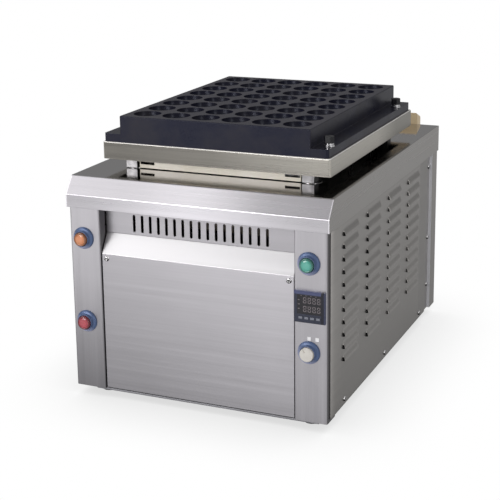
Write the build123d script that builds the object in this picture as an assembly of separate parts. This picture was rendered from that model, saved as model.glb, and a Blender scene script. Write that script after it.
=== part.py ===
"""A countertop gas takoyaki maker whose cooking plate rides on four eccentric cranks.

Millimetres, +Z up, front towards -Y. The origin is on the floor, at the middle of the overall
width and depth. Sections run from the cooking plate down: plate carriage, cranks and drive,
burner, case, controls, fasteners.
"""

from build123d import *
import math
import os

os.makedirs("parts", exist_ok=True)

# ---- sheet metal and fits -------------------------------------------------------------------
sheet = 1.5
plate_sheet = 2.0
bend_radius = 3.0
running_clearance = 0.05
seat_gap = 0.3
lap_gap = 1.5
side_lap_gap = 0.3

# ---- case -----------------------------------------------------------------------------------
cover_width = 410.0
cover_depth = 564.0
deck_height = 338.0
cover_lip = 44.0
bevel_run = 18.7
bevel_drop = 24.6
rear_lap_gap = 0.5
panel_top_drop = 26.0
foot_height = 3.0
foot_radius = 15.0
foot_inset = 30.0
plinth_height = 12.0
plinth_inset = 22.0
base_inset = 10.0
column_width = 49.5
column_depth = 32.0
flank_depth = 16.5
side_panel_lift = 4.0
side_panel_start = 10.0
groove_width = 33.5
groove_depth = 5.0
rear_post_width = 30.0
rear_post_return = 44.0
vent_setback = 20.0
cover_panel_setback = 3.0
cover_slope_drop = 83.0
cover_slope_rise = 28.8
vent_panel_lap = 12.0
cover_panel_gap = 1.2

# ---- openings in the case -------------------------------------------------------------------
vent_slots = 17
vent_pitch = 13.15
vent_slot_width = 4.4
vent_slot_height = 26.4
vent_slot_drop = 66.0
louvre_columns = 4
louvre_rows = 11
louvre_length = 64.0
louvre_height = 12.5
louvre_bulge = 4.5
louvre_wall = 1.1
louvre_column_pitch = 106.4
louvre_row_pitch = 18.6
louvre_first = 60.0
louvre_top_drop = 64.0
rear_slots = 9
rear_slot_pitch = 14.0
rear_slot_height = 60.0
rear_slot_drop = 130.0

# ---- cooking plate --------------------------------------------------------------------------
cups_across = 6
cups_deep = 8
cup_pitch = 48.0
cup_radius = 21.0
cup_floor = 5.0
plate_margin = 31.0
plate_thickness = 40.0
plate_wall = 12.0
plate_edge = 1.0
flange_width = 26.7
flange_thickness = 12.5
flange_corner = 4.0
plate_set_forward = 2.0

# ---- carriage -------------------------------------------------------------------------------
tray_lift = 15.6
tray_height = 26.6
tray_rim = 3.0
tray_front_rim = 2.0
tray_ledge_x = 54.0
tray_ledge_y = 24.0
tray_return = 15.0
post_size = 18.0
post_spacing_x = 283.0
post_spacing_y = 352.0
post_floor_gap = 1.2
skirt_gap = 1.5
skirt_setback = 3.0
skirt_slot_length = 23.0
skirt_slot_height = 4.0
skirt_slot_drop = 5.0
skirt_slot_end = 3.0
bush_wall = 2.5
bush_length = 26.0
plate_bolt_radius = 4.0
plate_bolt_across = 13.0
plate_bolt_head = 10.0
plate_bolt_inset = 7.7
front_bolt_inset = 25.0
rear_bolt_inset = 51.0
plate_pin_height = 7.0
washer_radius = 6.5
washer_thickness = 2.5
probe_radius = 2.4
probe_depth = 50.0
probe_stand = 12.0

# ---- cranks and drive -----------------------------------------------------------------------
eccentric = 6.0
orbit_set_forward = 3.0
pin_radius = 5.0
pin_length = 30.0
disc_radius = 15.0
disc_thickness = 8.0
disc_proud = 0.5
hub_radius = 10.0
hub_height = 6.0
shaft_radius = 6.0
shaft_tail = 8.0
housing_radius = 17.0
housing_height = 30.0
housing_flange = 6.0
housing_flange_x = 38.0
housing_flange_y = 56.0
rail_width = 44.0
rail_height = 25.0
coupling_radius = 13.0
coupling_length = 30.0
gearbox_size = 70.0
gearbox_height = 50.0
gearbox_corner = 8.0
output_radius = 7.0
output_seat = 30.0
shaft_grip = 12.0
motor_radius = 33.0
motor_length = 88.0
motor_fins = 5
motor_fin_depth = 3.0
motor_fin_width = 4.0
motor_band = 14.0
motor_cap_radius = 23.0
motor_cap_length = 6.0
bracket_drop = 52.0
bracket_lap = 4.0

# ---- burner ---------------------------------------------------------------------------------
burner_opening_x = 236.0
burner_opening_y = 300.0
burner_collar = 5.0
burner_box_depth = 96.0
burner_box_flange = 8.0
air_slot_width = 6.0
air_slot_length = 160.0
burner_tubes = 3
burner_pitch = 70.0
burner_radius = 12.0
burner_wall = 1.5
burner_drop = 42.0
burner_end_gap = 16.0
burner_port_width = 5.0
burner_port_height = 2.5
venturi_radius = 10.0
venturi_bell = 14.0
venturi_bell_height = 8.0
burner_port_inset = 12.0
burner_port_gap = 2.0
injector_gap = 4.0
injector_radius = 5.0
injector_height = 15.0
pipe_radius = 8.5
pipe_wall = 2.3
manifold_end = 20.0
saddle_lift = 3.0
injector_tip = 4.0
manifold_drop = 135.0
manifold_from_rear = 157.0
valve_from_side = 74.0
coil_depth = 18.0
coil_inset = 6.0
coil_cap_radius = 9.0
coil_cap_length = 6.0
valve_size_x = 50.0
valve_size_y = 60.0
valve_height = 50.0
inlet_height = 70.0
inlet_radius = 10.48
inlet_bore = 7.5
inlet_stub = 18.0
inlet_hex = 27.0
inlet_hex_length = 7.0
electrode_radius = 2.0
electrode_height = 62.0
electrode_collar_radius = 5.0
electrode_collar_height = 24.0
electrode_from_front = 20.0

# ---- flue -----------------------------------------------------------------------------------
flue_half_width = 166.0
flue_depth = 20.0
flue_front_height = 19.0
flue_rear_height = 11.0
flue_foot_drop = 92.0
flue_inlet_width = 290.0
flue_inlet_height = 32.0
flue_slots = 13
flue_slot_width = 5.0
flue_slot_length = 14.0
flue_slot_pitch = 24.0

# ---- controls -------------------------------------------------------------------------------
upper_button_drop = 90.0
lower_button_drop = 219.0
control_set_left = 2.6
bezel_radius = 16.8
bezel_thickness = 3.6
collar_radius = 12.0
collar_length = 8.5
button_radius = 10.2
button_projection = 12.0
button_travel = 3.0
button_clearance = 0.4
button_hole_radius = 11.15
barrel_length = 16.0
contact_block = 30.0
contact_length = 34.0
knob_groove_width = 1.6
knob_groove_depth = 0.8
knob_groove_length = 5.0
controller_size = 45.6
controller_body = 42.6
controller_bezel = 5.5
controller_depth = 68.0
controller_drop = 151.5
controller_window_foot = 10.0
controller_recess = 1.2
controller_edge = 1.4
controller_window = 36.0
key_width = 5.4
key_height = 3.4
key_pitch = 8.6
key_drop = 15.2
key_travel = 0.6
key_proud = 0.8

# ---- electrics ------------------------------------------------------------------------------
gland_height = 70.0
gland_from_side = 74.0
gland_radius = 11.0
gland_bore = 5.0
gland_length = 14.0
gland_flange = 3.0
gland_neck = 8.0
ignition_width = 70.0
ignition_depth = 110.0
ignition_height = 46.0
ignition_from_side = 54.0
ignition_from_front = 90.0
ignition_corner = 4.0
terminal_length = 90.0
terminal_depth = 24.0
terminal_height = 12.0
terminal_wall_height = 8.0
terminal_wall = 2.0
terminal_pitch = 14.0
terminals = 6
terminal_from_side = 54.0
terminal_from_rear = 66.0

# ---- fasteners ------------------------------------------------------------------------------
screw_head_radius = 4.0
screw_head_height = 2.2
screw_shank_radius = 2.0
screw_shank_length = 7.0
panel_screw_lift = 8.5
screw_clearance = 0.3
cover_screw_inset = 7.2
cover_screw_drop = 7.0
side_screw_shares = (0.12, 0.52, 0.93)
groove_screw_share = 0.82
groove_screw_drops = (66.0, 192.0, 278.0)

# ---- places worked out from the sizes -------------------------------------------------------
front_reach = button_projection - sheet - lap_gap
rear_reach = inlet_stub + inlet_hex_length - 2 * sheet - rear_lap_gap
case_y = (front_reach - rear_reach) / 2
cover_front = case_y - cover_depth / 2
cover_rear = case_y + cover_depth / 2
half_cover = cover_width / 2
half_body = half_cover - sheet - side_lap_gap
valve_x = valve_from_side - half_body
gland_x = half_body - gland_from_side
face_y = cover_front + sheet + lap_gap
rear_y = cover_rear - sheet - rear_lap_gap
body_foot = foot_height + plinth_height
panel_top = deck_height - panel_top_drop
cover_slope_top = deck_height - cover_slope_drop
cover_panel_top = cover_slope_top - cover_slope_rise
vent_slot_middle = deck_height - vent_slot_drop
louvre_top_foot = deck_height - louvre_top_drop
rear_slot_middle = deck_height - rear_slot_drop
upper_button_height = deck_height - upper_button_drop
lower_button_height = deck_height - lower_button_drop
controller_height = deck_height - controller_drop
column_outer = half_body - sheet
column_inner = column_outer - column_width
column_middle = column_inner + column_width / 2
side_panel_rear = rear_y - rear_post_width - groove_width

orbit_y = case_y - orbit_set_forward
carriage_y = orbit_y - eccentric
plate_y = carriage_y - plate_set_forward
half_plate_x = (cups_across - 1) / 2 * cup_pitch + plate_margin
half_plate_y = (cups_deep - 1) / 2 * cup_pitch + plate_margin
half_flange_x = half_plate_x + flange_width
tray_bottom = deck_height + tray_lift
tray_top = tray_bottom + tray_height
plate_top = tray_top + plate_thickness
flange_top = tray_top + flange_thickness
half_tray_x = half_flange_x + tray_rim
half_tray_y = half_plate_y + tray_front_rim
post_corners = [
    (sx * post_spacing_x / 2, sy * post_spacing_y / 2) for sy in (-1, 1) for sx in (-1, 1)
]
post_foot = deck_height + post_floor_gap
post_top = tray_top - plate_sheet
crank_places = {
    "idler_crank_front_left": (-post_spacing_x / 2, orbit_y - post_spacing_y / 2),
    "idler_crank_front_right": (post_spacing_x / 2, orbit_y - post_spacing_y / 2),
    "idler_crank_rear_left": (-post_spacing_x / 2, orbit_y + post_spacing_y / 2),
    "drive_crank": (post_spacing_x / 2, orbit_y + post_spacing_y / 2),
}
disc_top = deck_height + disc_proud
disc_bottom = disc_top - disc_thickness
hub_bottom = disc_bottom - hub_height
housing_top = hub_bottom - seat_gap
rail_top = housing_top - housing_height
rail_bottom = rail_top - rail_height
bracket_floor = rail_top - rail_height - bracket_drop
gearbox_top = bracket_floor
gearbox_bottom = gearbox_top - gearbox_height
coupling_bottom = gearbox_top + plate_sheet + 10 * seat_gap
coupling_top = coupling_bottom + coupling_length
crank_tail = coupling_bottom + shaft_grip + plate_sheet

burner_rim = deck_height - sheet
burner_floor = burner_rim - burner_box_depth
burner_z = deck_height - burner_drop
manifold_z = deck_height - manifold_drop
manifold_y = rear_y - manifold_from_rear
injector_top = manifold_z + pipe_radius + injector_height
venturi_mouth = injector_top + injector_gap
burner_columns = [(i - (burner_tubes - 1) / 2) * burner_pitch for i in range(burner_tubes)]


# ---- helpers --------------------------------------------------------------------------------
def block(x0, x1, y0, y1, z0, z1):
    """A box between two corners."""
    return Pos((x0 + x1) / 2, (y0 + y1) / 2, (z0 + z1) / 2) * Box(x1 - x0, y1 - y0, z1 - z0)


def upright(radius, x, y, z0, z1):
    """A cylinder that stands on Z between two heights."""
    return Pos(x, y, (z0 + z1) / 2) * Cylinder(radius, z1 - z0)


def along_y(radius, x, z, y0, y1):
    """A cylinder that lies along Y."""
    return Pos(x, (y0 + y1) / 2, z) * Rot(90, 0, 0) * Cylinder(radius, y1 - y0)


def along_x(radius, y, z, x0, x1):
    """A cylinder that lies along X."""
    return Pos((x0 + x1) / 2, y, z) * Rot(0, 90, 0) * Cylinder(radius, x1 - x0)


def profile_yz(points, x0, x1):
    """A closed outline in Y and Z, carried from x0 to x1."""
    outline = make_face(Polyline(*points, close=True))
    return Pos(x0, 0, 0) * extrude(Plane.YZ * outline, amount=x1 - x0)


def rounded_bar(half_x, half_y, middle_y, z0, z1, corner):
    """An upright bar with a rounded rectangular section."""
    section = RectangleRounded(2 * half_x, 2 * half_y, corner)
    return Pos(0, middle_y, z0) * extrude(section, amount=z1 - z0)


def vertical_edges(solid):
    """The edges of a solid that stand along Z."""
    return solid.edges().filter_by(Axis.Z)


def mirrored(solid):
    """The same solid on the other side of the middle plane."""
    return mirror(solid, about=Plane.YZ)


def hex_bar(across, x, y, z0, z1):
    """A hexagonal bar that stands on Z."""
    section = RegularPolygon(across / 2, 6, major_radius=False)
    return Pos(x, y, z0) * extrude(section, amount=z1 - z0)


def domed_screw(place):
    """A pan-head screw at a place whose own Z points out of the panel."""
    head = Pos(0, 0, screw_head_height / 2) * Cone(
        screw_head_radius, screw_head_radius - screw_head_height / 2, screw_head_height)
    shank = Pos(0, 0, -screw_shank_length / 2) * Cylinder(screw_shank_radius, screw_shank_length)
    return place * (head + shank)


def screw_hole(place):
    """The clearance hole of a screw at the same place."""
    return place * Cylinder(screw_shank_radius + screw_clearance, 4 * sheet)


def slot_cut(x, y, z, height, width):
    """An upright round-ended slot, cut along Y through a panel."""
    outline = SlotOverall(height, width, rotation=90)
    return Pos(x, y, z) * Rot(90, 0, 0) * extrude(outline, amount=3 * sheet, both=True)


def save(shape, name):
    """Write one node; a list becomes one group of separate solids."""
    if isinstance(shape, (list, tuple)):
        shape = Compound(children=list(shape))
    export_step(shape, f"parts/{name}.step")


# ---- cooking plate and its carriage ---------------------------------------------------------
def cup_centres():
    """Middles of the cups at the top of the plate."""
    for i in range(cups_across):
        for j in range(cups_deep):
            yield (
                (i - (cups_across - 1) / 2) * cup_pitch,
                plate_y + (j - (cups_deep - 1) / 2) * cup_pitch,
            )


def fixing_places(side):
    """Two places on one flange: bolts on the right, locating pins on the left."""
    x = side * (half_flange_x - plate_bolt_inset)
    return [(x, plate_y - half_plate_y + front_bolt_inset),
            (x, plate_y + half_plate_y - rear_bolt_inset)]


def cooking_plate():
    """Cast plate with round cups, a hollow underside and a flange along each side."""
    body = block(-half_plate_x, half_plate_x, plate_y - half_plate_y, plate_y + half_plate_y,
                 tray_top, plate_top)
    body = chamfer(body.edges().filter_by(Axis.Z), plate_edge)
    body = chamfer(body.faces().sort_by(Axis.Z)[-1].edges(), plate_edge)
    flange = rounded_bar(half_flange_x, half_plate_y, plate_y, tray_top, flange_top, flange_corner)
    ceiling = plate_top - cup_radius - cup_floor
    hollow = block(plate_wall - half_plate_x, half_plate_x - plate_wall,
                   plate_y - half_plate_y + plate_wall, plate_y + half_plate_y - plate_wall,
                   tray_top, ceiling)
    cups = [Pos(x, y, plate_top) * Sphere(cup_radius) for x, y in cup_centres()]
    holes = [upright(plate_bolt_radius + seat_gap, x, y, tray_top, flange_top)
             for x, y in fixing_places(1)]
    holes += [upright(plate_bolt_radius + seat_gap, x, y, tray_top, tray_top + plate_pin_height + 1)
              for x, y in fixing_places(-1)]
    rear = plate_y + half_plate_y
    probe_hole = along_y(probe_radius + running_clearance, 0, probe_z(), rear - probe_depth, rear)
    return body + flange - hollow - holes - probe_hole - cups


def probe_z():
    """Height of the temperature probe, in the plate's rear wall below the cups."""
    return (tray_top + plate_top - cup_radius) / 2


def temperature_probe():
    """Sheathed probe pushed into the plate from behind, with a small hexagon."""
    rear = plate_y + half_plate_y
    sheath = along_y(probe_radius, 0, probe_z(), rear - plate_wall, rear + probe_stand)
    hexagon = Pos(0, rear + 4, probe_z()) * Rot(90, 0, 0) * extrude(
        RegularPolygon(4, 6, major_radius=False), amount=4)
    return sheath + hexagon


def carrier_tray():
    """Folded frame: an outer wall, a ledge with two locating pins for the plate and a return."""
    outer = rounded_bar(half_tray_x, half_tray_y, carriage_y, tray_bottom, tray_top, bend_radius)
    outer = fillet(outer.faces().sort_by(Axis.Z)[-1].edges(), plate_sheet)
    inside = rounded_bar(half_tray_x - plate_sheet, half_tray_y - plate_sheet, carriage_y,
                         tray_bottom + plate_sheet, tray_top - plate_sheet, plate_sheet)
    ledge_hole = rounded_bar(half_tray_x - tray_ledge_x, half_tray_y - tray_ledge_y, carriage_y,
                             tray_top - 2 * plate_sheet, tray_top + plate_sheet, bend_radius)
    foot_hole = rounded_bar(half_tray_x - tray_return, half_tray_y - tray_return, carriage_y,
                            tray_bottom - plate_sheet, tray_bottom + 2 * plate_sheet, bend_radius)
    holes = [upright(plate_bolt_radius + seat_gap, x, y, tray_top - 2 * plate_sheet, tray_top)
             for x, y in fixing_places(1)]
    pins = [upright(plate_bolt_radius, x, y, tray_top - plate_sheet, tray_top + plate_pin_height)
            for x, y in fixing_places(-1)]
    return outer - inside - ledge_hole - foot_hole - holes + pins


half_skirt_x = post_spacing_x / 2 - post_size / 2 - skirt_gap
half_skirt_y = post_spacing_y / 2 + post_size / 2 - skirt_setback


def heat_skirt():
    """Enamelled wall that keeps the flame under the plate, with exhaust slots at its ends."""
    outer = rounded_bar(half_skirt_x, half_skirt_y, carriage_y, post_foot, post_top, bend_radius)
    inner = rounded_bar(half_skirt_x - sheet, half_skirt_y - sheet, carriage_y,
                        post_foot, post_top, bend_radius - sheet)
    slot_top = tray_bottom - skirt_slot_drop
    slots = []
    for sx in (-1, 1):
        middle = sx * (half_skirt_x - skirt_slot_end - skirt_slot_length / 2)
        slots.append(block(middle - skirt_slot_length / 2, middle + skirt_slot_length / 2,
                           carriage_y - half_skirt_y - sheet, carriage_y + half_skirt_y + sheet,
                           slot_top - skirt_slot_height, slot_top))
    return outer - inner - slots


def support_posts():
    """Square corner posts under the tray, each bored from below for a bush."""
    posts = []
    for x, y in post_corners:
        post = block(x - post_size / 2, x + post_size / 2, carriage_y + y - post_size / 2,
                     carriage_y + y + post_size / 2, post_foot, post_top)
        bore = upright(pin_radius + bush_wall, x, carriage_y + y, post_foot, post_foot + bush_length)
        relief = upright(pin_radius + sheet, x, carriage_y + y, post_foot, post_top - 2 * plate_sheet)
        posts.append(post - bore - relief)
    return posts


def post_bushes():
    """Bronze bushes that run on the crank pins."""
    bushes = []
    for x, y in post_corners:
        sleeve = upright(pin_radius + bush_wall, x, carriage_y + y, post_foot, post_foot + bush_length)
        bore = upright(pin_radius + running_clearance, x, carriage_y + y, post_foot,
                       post_foot + bush_length)
        bushes.append(sleeve - bore)
    return bushes


def plate_bolts():
    """Two hexagon bolts that hold the right flange of the plate on the tray."""
    seat = flange_top + 2 * washer_thickness
    bolts = []
    for x, y in fixing_places(1):
        head = hex_bar(plate_bolt_across, x, y, seat, seat + plate_bolt_head)
        shank = upright(plate_bolt_radius, x, y, tray_top - 3 * plate_sheet, seat)
        bolts.append(head + shank)
    return bolts


def plate_washers():
    """Two washers under each bolt head."""
    rings = []
    for x, y in fixing_places(1):
        for level, radius in enumerate((washer_radius + 1, washer_radius)):
            foot = flange_top + level * washer_thickness
            ring = upright(radius, x, y, foot, foot + washer_thickness)
            rings.append(ring - upright(plate_bolt_radius + seat_gap, x, y, foot,
                                        foot + washer_thickness))
    return rings


# ---- cranks and drive -----------------------------------------------------------------------
def crank(x, y, tail):
    """Disc level with the deck, an eccentric pin above it and a shaft below."""
    pin = upright(pin_radius, x, y - eccentric, disc_top, disc_top + pin_length)
    disc = upright(disc_radius, x, y, disc_bottom, disc_top)
    hub = upright(hub_radius, x, y, hub_bottom, disc_bottom)
    shaft = upright(shaft_radius, x, y, tail, hub_bottom)
    return pin + disc + hub + shaft


def bearing_housing(x, y):
    """Flanged bearing block on a rail, bored for the crank shaft."""
    base = block(x - housing_flange_x / 2, x + housing_flange_x / 2, y - housing_flange_y / 2,
                 y + housing_flange_y / 2, rail_top, rail_top + housing_flange)
    base = fillet(base.edges().filter_by(Axis.Z), housing_flange)
    barrel = upright(housing_radius, x, y, rail_top, housing_top)
    bore = upright(shaft_radius + running_clearance, x, y, rail_top, housing_top)
    return base + barrel - bore


def drive_rail(y):
    """Channel across the case that carries two bearing housings."""
    width = rail_width / 2
    rail = block(-column_outer, column_outer, y - width, y + width, rail_bottom, rail_top)
    inside = block(-column_outer, column_outer, y - width + plate_sheet, y + width - plate_sheet,
                   rail_bottom, rail_top - plate_sheet)
    holes = [upright(shaft_radius + 1, sx * post_spacing_x / 2, y, rail_top - plate_sheet, rail_top)
             for sx in (-1, 1)]
    return rail - inside - holes


def motor_bracket(x, y):
    """Stirrup under the rear rail that holds the gearbox."""
    half = rail_width / 2 + plate_sheet
    reach = gearbox_size / 2
    top = rail_top - bracket_lap
    outer = block(x - reach, x + reach, y - half, y + half, bracket_floor, top)
    inside = block(x - reach, x + reach, y - half + plate_sheet, y + half - plate_sheet,
                   bracket_floor + plate_sheet, top)
    hole = upright(coupling_radius, x, y, bracket_floor, bracket_floor + plate_sheet)
    return outer - inside - hole


def gearbox(x, y):
    """Square gear head with rounded corners and a boss, bored for its output shaft."""
    half = gearbox_size / 2
    case = block(x - half, x + half, y - half, y + half, gearbox_bottom, gearbox_top)
    case = fillet(case.edges().filter_by(Axis.Z), gearbox_corner)
    bore = upright(output_radius + running_clearance, x, y, gearbox_top - output_seat, gearbox_top)
    return case - bore


def drive_motor(x, y):
    """Finned motor hanging under the gearbox, with an end cap."""
    foot = gearbox_bottom - motor_length
    body = upright(motor_radius - motor_fin_depth, x, y, foot, gearbox_bottom)
    pitch = (motor_length - 2 * motor_band) / (motor_fins - 1)
    for i in range(motor_fins):
        low = foot + motor_band + i * pitch - motor_fin_width / 2
        body += upright(motor_radius, x, y, low, low + motor_fin_width)
    return body + upright(motor_cap_radius, x, y, foot - motor_cap_length, foot)


def output_shaft(x, y):
    """Gearbox shaft that the coupling joins to the crank."""
    return upright(output_radius, x, y, gearbox_top - output_seat + 2 * seat_gap,
                   coupling_bottom + shaft_grip)


def shaft_coupling(x, y):
    """Rigid sleeve over the two shaft ends, with a clamping slit."""
    sleeve = upright(coupling_radius, x, y, coupling_bottom, coupling_top)
    upper = upright(shaft_radius, x, y, crank_tail, coupling_top)
    lower = upright(output_radius, x, y, coupling_bottom, coupling_bottom + shaft_grip)
    slit = block(x, x + coupling_radius, y - sheet / 2, y + sheet / 2, coupling_bottom, coupling_top)
    return sleeve - upper - lower - slit


# ---- burner and gas train -------------------------------------------------------------------
def burner_box():
    """Open-topped fire box that hangs under the deck opening."""
    half_x, half_y = burner_opening_x / 2, burner_opening_y / 2
    wall = block(-half_x, half_x, orbit_y - half_y, orbit_y + half_y, burner_floor, burner_rim)
    rim = block(-half_x - burner_box_flange, half_x + burner_box_flange,
                orbit_y - half_y - burner_box_flange, orbit_y + half_y + burner_box_flange,
                burner_rim - sheet, burner_rim)
    inside = block(sheet - half_x, half_x - sheet, orbit_y - half_y + sheet,
                   orbit_y + half_y - sheet, burner_floor + sheet, burner_rim)
    holes = [upright(venturi_radius + seat_gap, x, manifold_y, burner_floor, burner_floor + sheet)
             for x in burner_columns]
    slots = [block(x - air_slot_width / 2, x + air_slot_width / 2, orbit_y - air_slot_length / 2,
                   orbit_y + air_slot_length / 2, burner_floor, burner_floor + sheet)
             for x in (-burner_pitch / 2, burner_pitch / 2)]
    return wall + rim - inside - holes - slots


def burner_tube(x):
    """Straight tube burner with a raised port strip, and a venturi that drops through the box."""
    y0 = orbit_y - burner_opening_y / 2 + sheet
    y1 = manifold_y + burner_end_gap
    tube = along_y(burner_radius, x, burner_z, y0, y1)
    strip_top = burner_z + burner_radius + burner_port_height
    strip_rear = manifold_y - venturi_bell
    strip = block(x - burner_port_width, x + burner_port_width, y0 + burner_port_inset, strip_rear,
                  burner_z, strip_top)
    leg = upright(venturi_radius, x, manifold_y, venturi_mouth, burner_z)
    bell = Pos(x, manifold_y, venturi_mouth + venturi_bell_height / 2) * Cone(
        venturi_bell, venturi_radius, venturi_bell_height)
    bore = along_y(burner_radius - burner_wall, x, burner_z, y0 + burner_wall, y1 - burner_wall)
    throat = upright(venturi_radius - burner_wall, x, manifold_y, venturi_mouth, burner_z)
    port = block(x - burner_port_gap / 2, x + burner_port_gap / 2, y0 + 1.5 * burner_port_inset,
                 strip_rear - burner_port_inset / 2, burner_z, strip_top)
    return tube + strip + leg + bell - bore - throat - port


def gas_manifold():
    """Pipe under the burners, fed at its left end."""
    x1 = burner_columns[-1] + manifold_end
    pipe = along_x(pipe_radius, manifold_y, manifold_z, valve_x - pipe_radius, x1)
    bore = along_x(pipe_radius - pipe_wall, manifold_y, manifold_z, valve_x, x1 - pipe_wall)
    top = manifold_z + pipe_radius + saddle_lift
    saddles = [upright(injector_radius + burner_wall, x, manifold_y, manifold_z, top)
               for x in burner_columns]
    return pipe + saddles - bore


def injectors():
    """Brass jets that point up into the venturis."""
    jets = []
    for x in burner_columns:
        foot = manifold_z + pipe_radius + saddle_lift
        body = hex_bar(2 * injector_radius, x, manifold_y, foot, injector_top - injector_tip)
        tip = Pos(x, manifold_y, injector_top - injector_tip / 2) * Cone(
            injector_radius - 1, injector_radius / 3, injector_tip)
        jets.append(body + tip)
    return jets


valve_foot = inlet_height - valve_height / 2
valve_top = valve_foot + valve_height


def gas_valve():
    """Solenoid gas valve: body, two coils and side bosses."""
    half_x, half_y = valve_size_x / 2, valve_size_y / 2
    body = block(valve_x - half_x, valve_x + half_x, manifold_y - half_y, manifold_y + half_y,
                 valve_foot, valve_top)
    body = fillet(body.edges().filter_by(Axis.Z), 5)
    coil_front = manifold_y - half_y - coil_depth
    coil = block(valve_x - half_x + coil_inset, valve_x + half_x - coil_inset, coil_front,
                 manifold_y - half_y, valve_foot + coil_inset, valve_top - coil_inset)
    cap = along_y(coil_cap_radius, valve_x, inlet_height, coil_front - coil_cap_length, coil_front)
    return body + coil + cap


def valve_stand():
    """Folded stool that lifts the valve off the base."""
    half_x, half_y = valve_size_x / 2, valve_size_y / 2
    outer = block(valve_x - half_x, valve_x + half_x, manifold_y - half_y, manifold_y + half_y,
                  body_foot, valve_foot)
    inside = block(valve_x - half_x + sheet, valve_x + half_x - sheet, manifold_y - half_y,
                   manifold_y + half_y, body_foot, valve_foot - sheet)
    return outer - inside


def gas_pipes():
    """Pipe from the inlet to the valve, and the riser from the valve to the manifold."""
    y0 = manifold_y + valve_size_y / 2
    feed = along_y(pipe_radius, valve_x, inlet_height, y0, rear_y - 2 * sheet)
    feed -= along_y(pipe_radius - pipe_wall, valve_x, inlet_height, y0, rear_y - 2 * sheet)
    riser_top = manifold_z - pipe_radius
    riser = upright(pipe_radius, valve_x, manifold_y, valve_top, riser_top)
    riser -= upright(pipe_radius - pipe_wall, valve_x, manifold_y, valve_top, riser_top)
    return [feed, riser]


def gas_inlet():
    """Hexagon and bare end of the gas inlet, behind the rear panel."""
    hexagon = Pos(valve_x, rear_y - sheet, inlet_height) * Rot(-90, 0, 0) * extrude(
        RegularPolygon(inlet_hex / 2, 6, major_radius=False), amount=inlet_hex_length)
    stub_from = rear_y - sheet + inlet_hex_length
    stub = along_y(inlet_radius, valve_x, inlet_height, stub_from, stub_from + inlet_stub)
    neck = along_y(inlet_radius - 1, valve_x, inlet_height, rear_y - 2 * sheet, rear_y - sheet)
    bore = along_y(inlet_bore, valve_x, inlet_height, rear_y - 2 * sheet, stub_from + inlet_stub)
    return hexagon + stub + neck - bore


def electrodes():
    """Spark electrode and flame rod, standing on the fire box floor."""
    rods = []
    for x in (-burner_pitch / 2, burner_pitch / 2):
        y = orbit_y - burner_opening_y / 2 + electrode_from_front
        foot = burner_floor + sheet
        rod = upright(electrode_radius, x, y, foot, burner_floor + electrode_height)
        collar = upright(electrode_collar_radius, x, y, foot, foot + electrode_collar_height)
        rods.append(rod + collar)
    return rods


flue_inlet_middle = deck_height - cover_lip - lap_gap - flue_inlet_height / 2 - 4 * sheet


def flue_outline(inset, opened):
    """Outline of the flue in Y and Z, drawn in by a wall; it clears the cover's rear lip."""
    low_front = rear_y + seat_gap + inset
    front = cover_rear + seat_gap + inset
    rear = cover_rear + seat_gap + flue_depth - inset
    step = deck_height - cover_lip - seat_gap - inset
    foot = deck_height - flue_foot_drop + inset
    slant = inset + opened
    return [(low_front, foot), (low_front, step), (front, step),
            (front, deck_height + flue_front_height - slant),
            (rear, deck_height + flue_rear_height - slant), (rear, foot)]


def exhaust_flue():
    """Shallow duct behind the case that rises above the deck, with a sloping slotted top."""
    outer = profile_yz(flue_outline(0, 0), -flue_half_width, flue_half_width)
    top_corners = outer.edges().filter_by(Axis.Y, tolerance=25).group_by(Axis.Z)[-1]
    outer = fillet(top_corners, bend_radius)
    inner = profile_yz(flue_outline(sheet, sheet / 4), sheet - flue_half_width,
                       flue_half_width - sheet)
    inlet = block(-flue_inlet_width / 2, flue_inlet_width / 2, rear_y, rear_y + 2 * sheet,
                  flue_inlet_middle - flue_inlet_height / 2,
                  flue_inlet_middle + flue_inlet_height / 2)
    middle = cover_rear + seat_gap + flue_depth / 2
    slots = []
    for i in range(flue_slots):
        x = (i - (flue_slots - 1) / 2) * flue_slot_pitch
        slots.append(block(x - flue_slot_length / 2, x + flue_slot_length / 2,
                           middle - flue_slot_width / 2, middle + flue_slot_width / 2,
                           deck_height, deck_height + flue_front_height + sheet))
    return outer - inner - inlet - slots


# ---- case -----------------------------------------------------------------------------------
def cover_blank(inset, lowered):
    """Outline of the cover with its sloping front, drawn in by a wall and lengthened downwards."""
    rise = bevel_drop / bevel_run
    slant = inset * (math.hypot(1, rise) - 1)
    low = deck_height - cover_lip - lowered
    top = deck_height - inset
    front = cover_front + inset
    lip_top = deck_height - bevel_drop - slant
    bevel_top = front + (top - lip_top) / rise
    points = [(front, low), (front, lip_top), (bevel_top, top),
              (cover_rear - inset, top), (cover_rear - inset, low)]
    return profile_yz(points, inset - half_cover, half_cover - inset)


def top_cover():
    """Folded cover: mirror deck, sloping front, lips all round, openings for fire and cranks."""
    outer = cover_blank(0, 0)
    long_edges = outer.edges().filter_by(Axis.X).sort_by(Axis.Z)[-3:]
    outer = fillet(long_edges, bend_radius)
    shell = outer - cover_blank(sheet, sheet)
    hole = rounded_bar(burner_opening_x / 2, burner_opening_y / 2, orbit_y,
                       deck_height - 2 * sheet, deck_height + burner_collar, bend_radius)
    collar = rounded_bar(burner_opening_x / 2 + sheet, burner_opening_y / 2 + sheet, orbit_y,
                         deck_height - sheet, deck_height + burner_collar, bend_radius + sheet)
    wells = [upright(disc_radius + 2 * seat_gap, x, y, deck_height - 2 * sheet, deck_height)
             for x, y in crank_places.values()]
    return shell + collar - hole - wells


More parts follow.
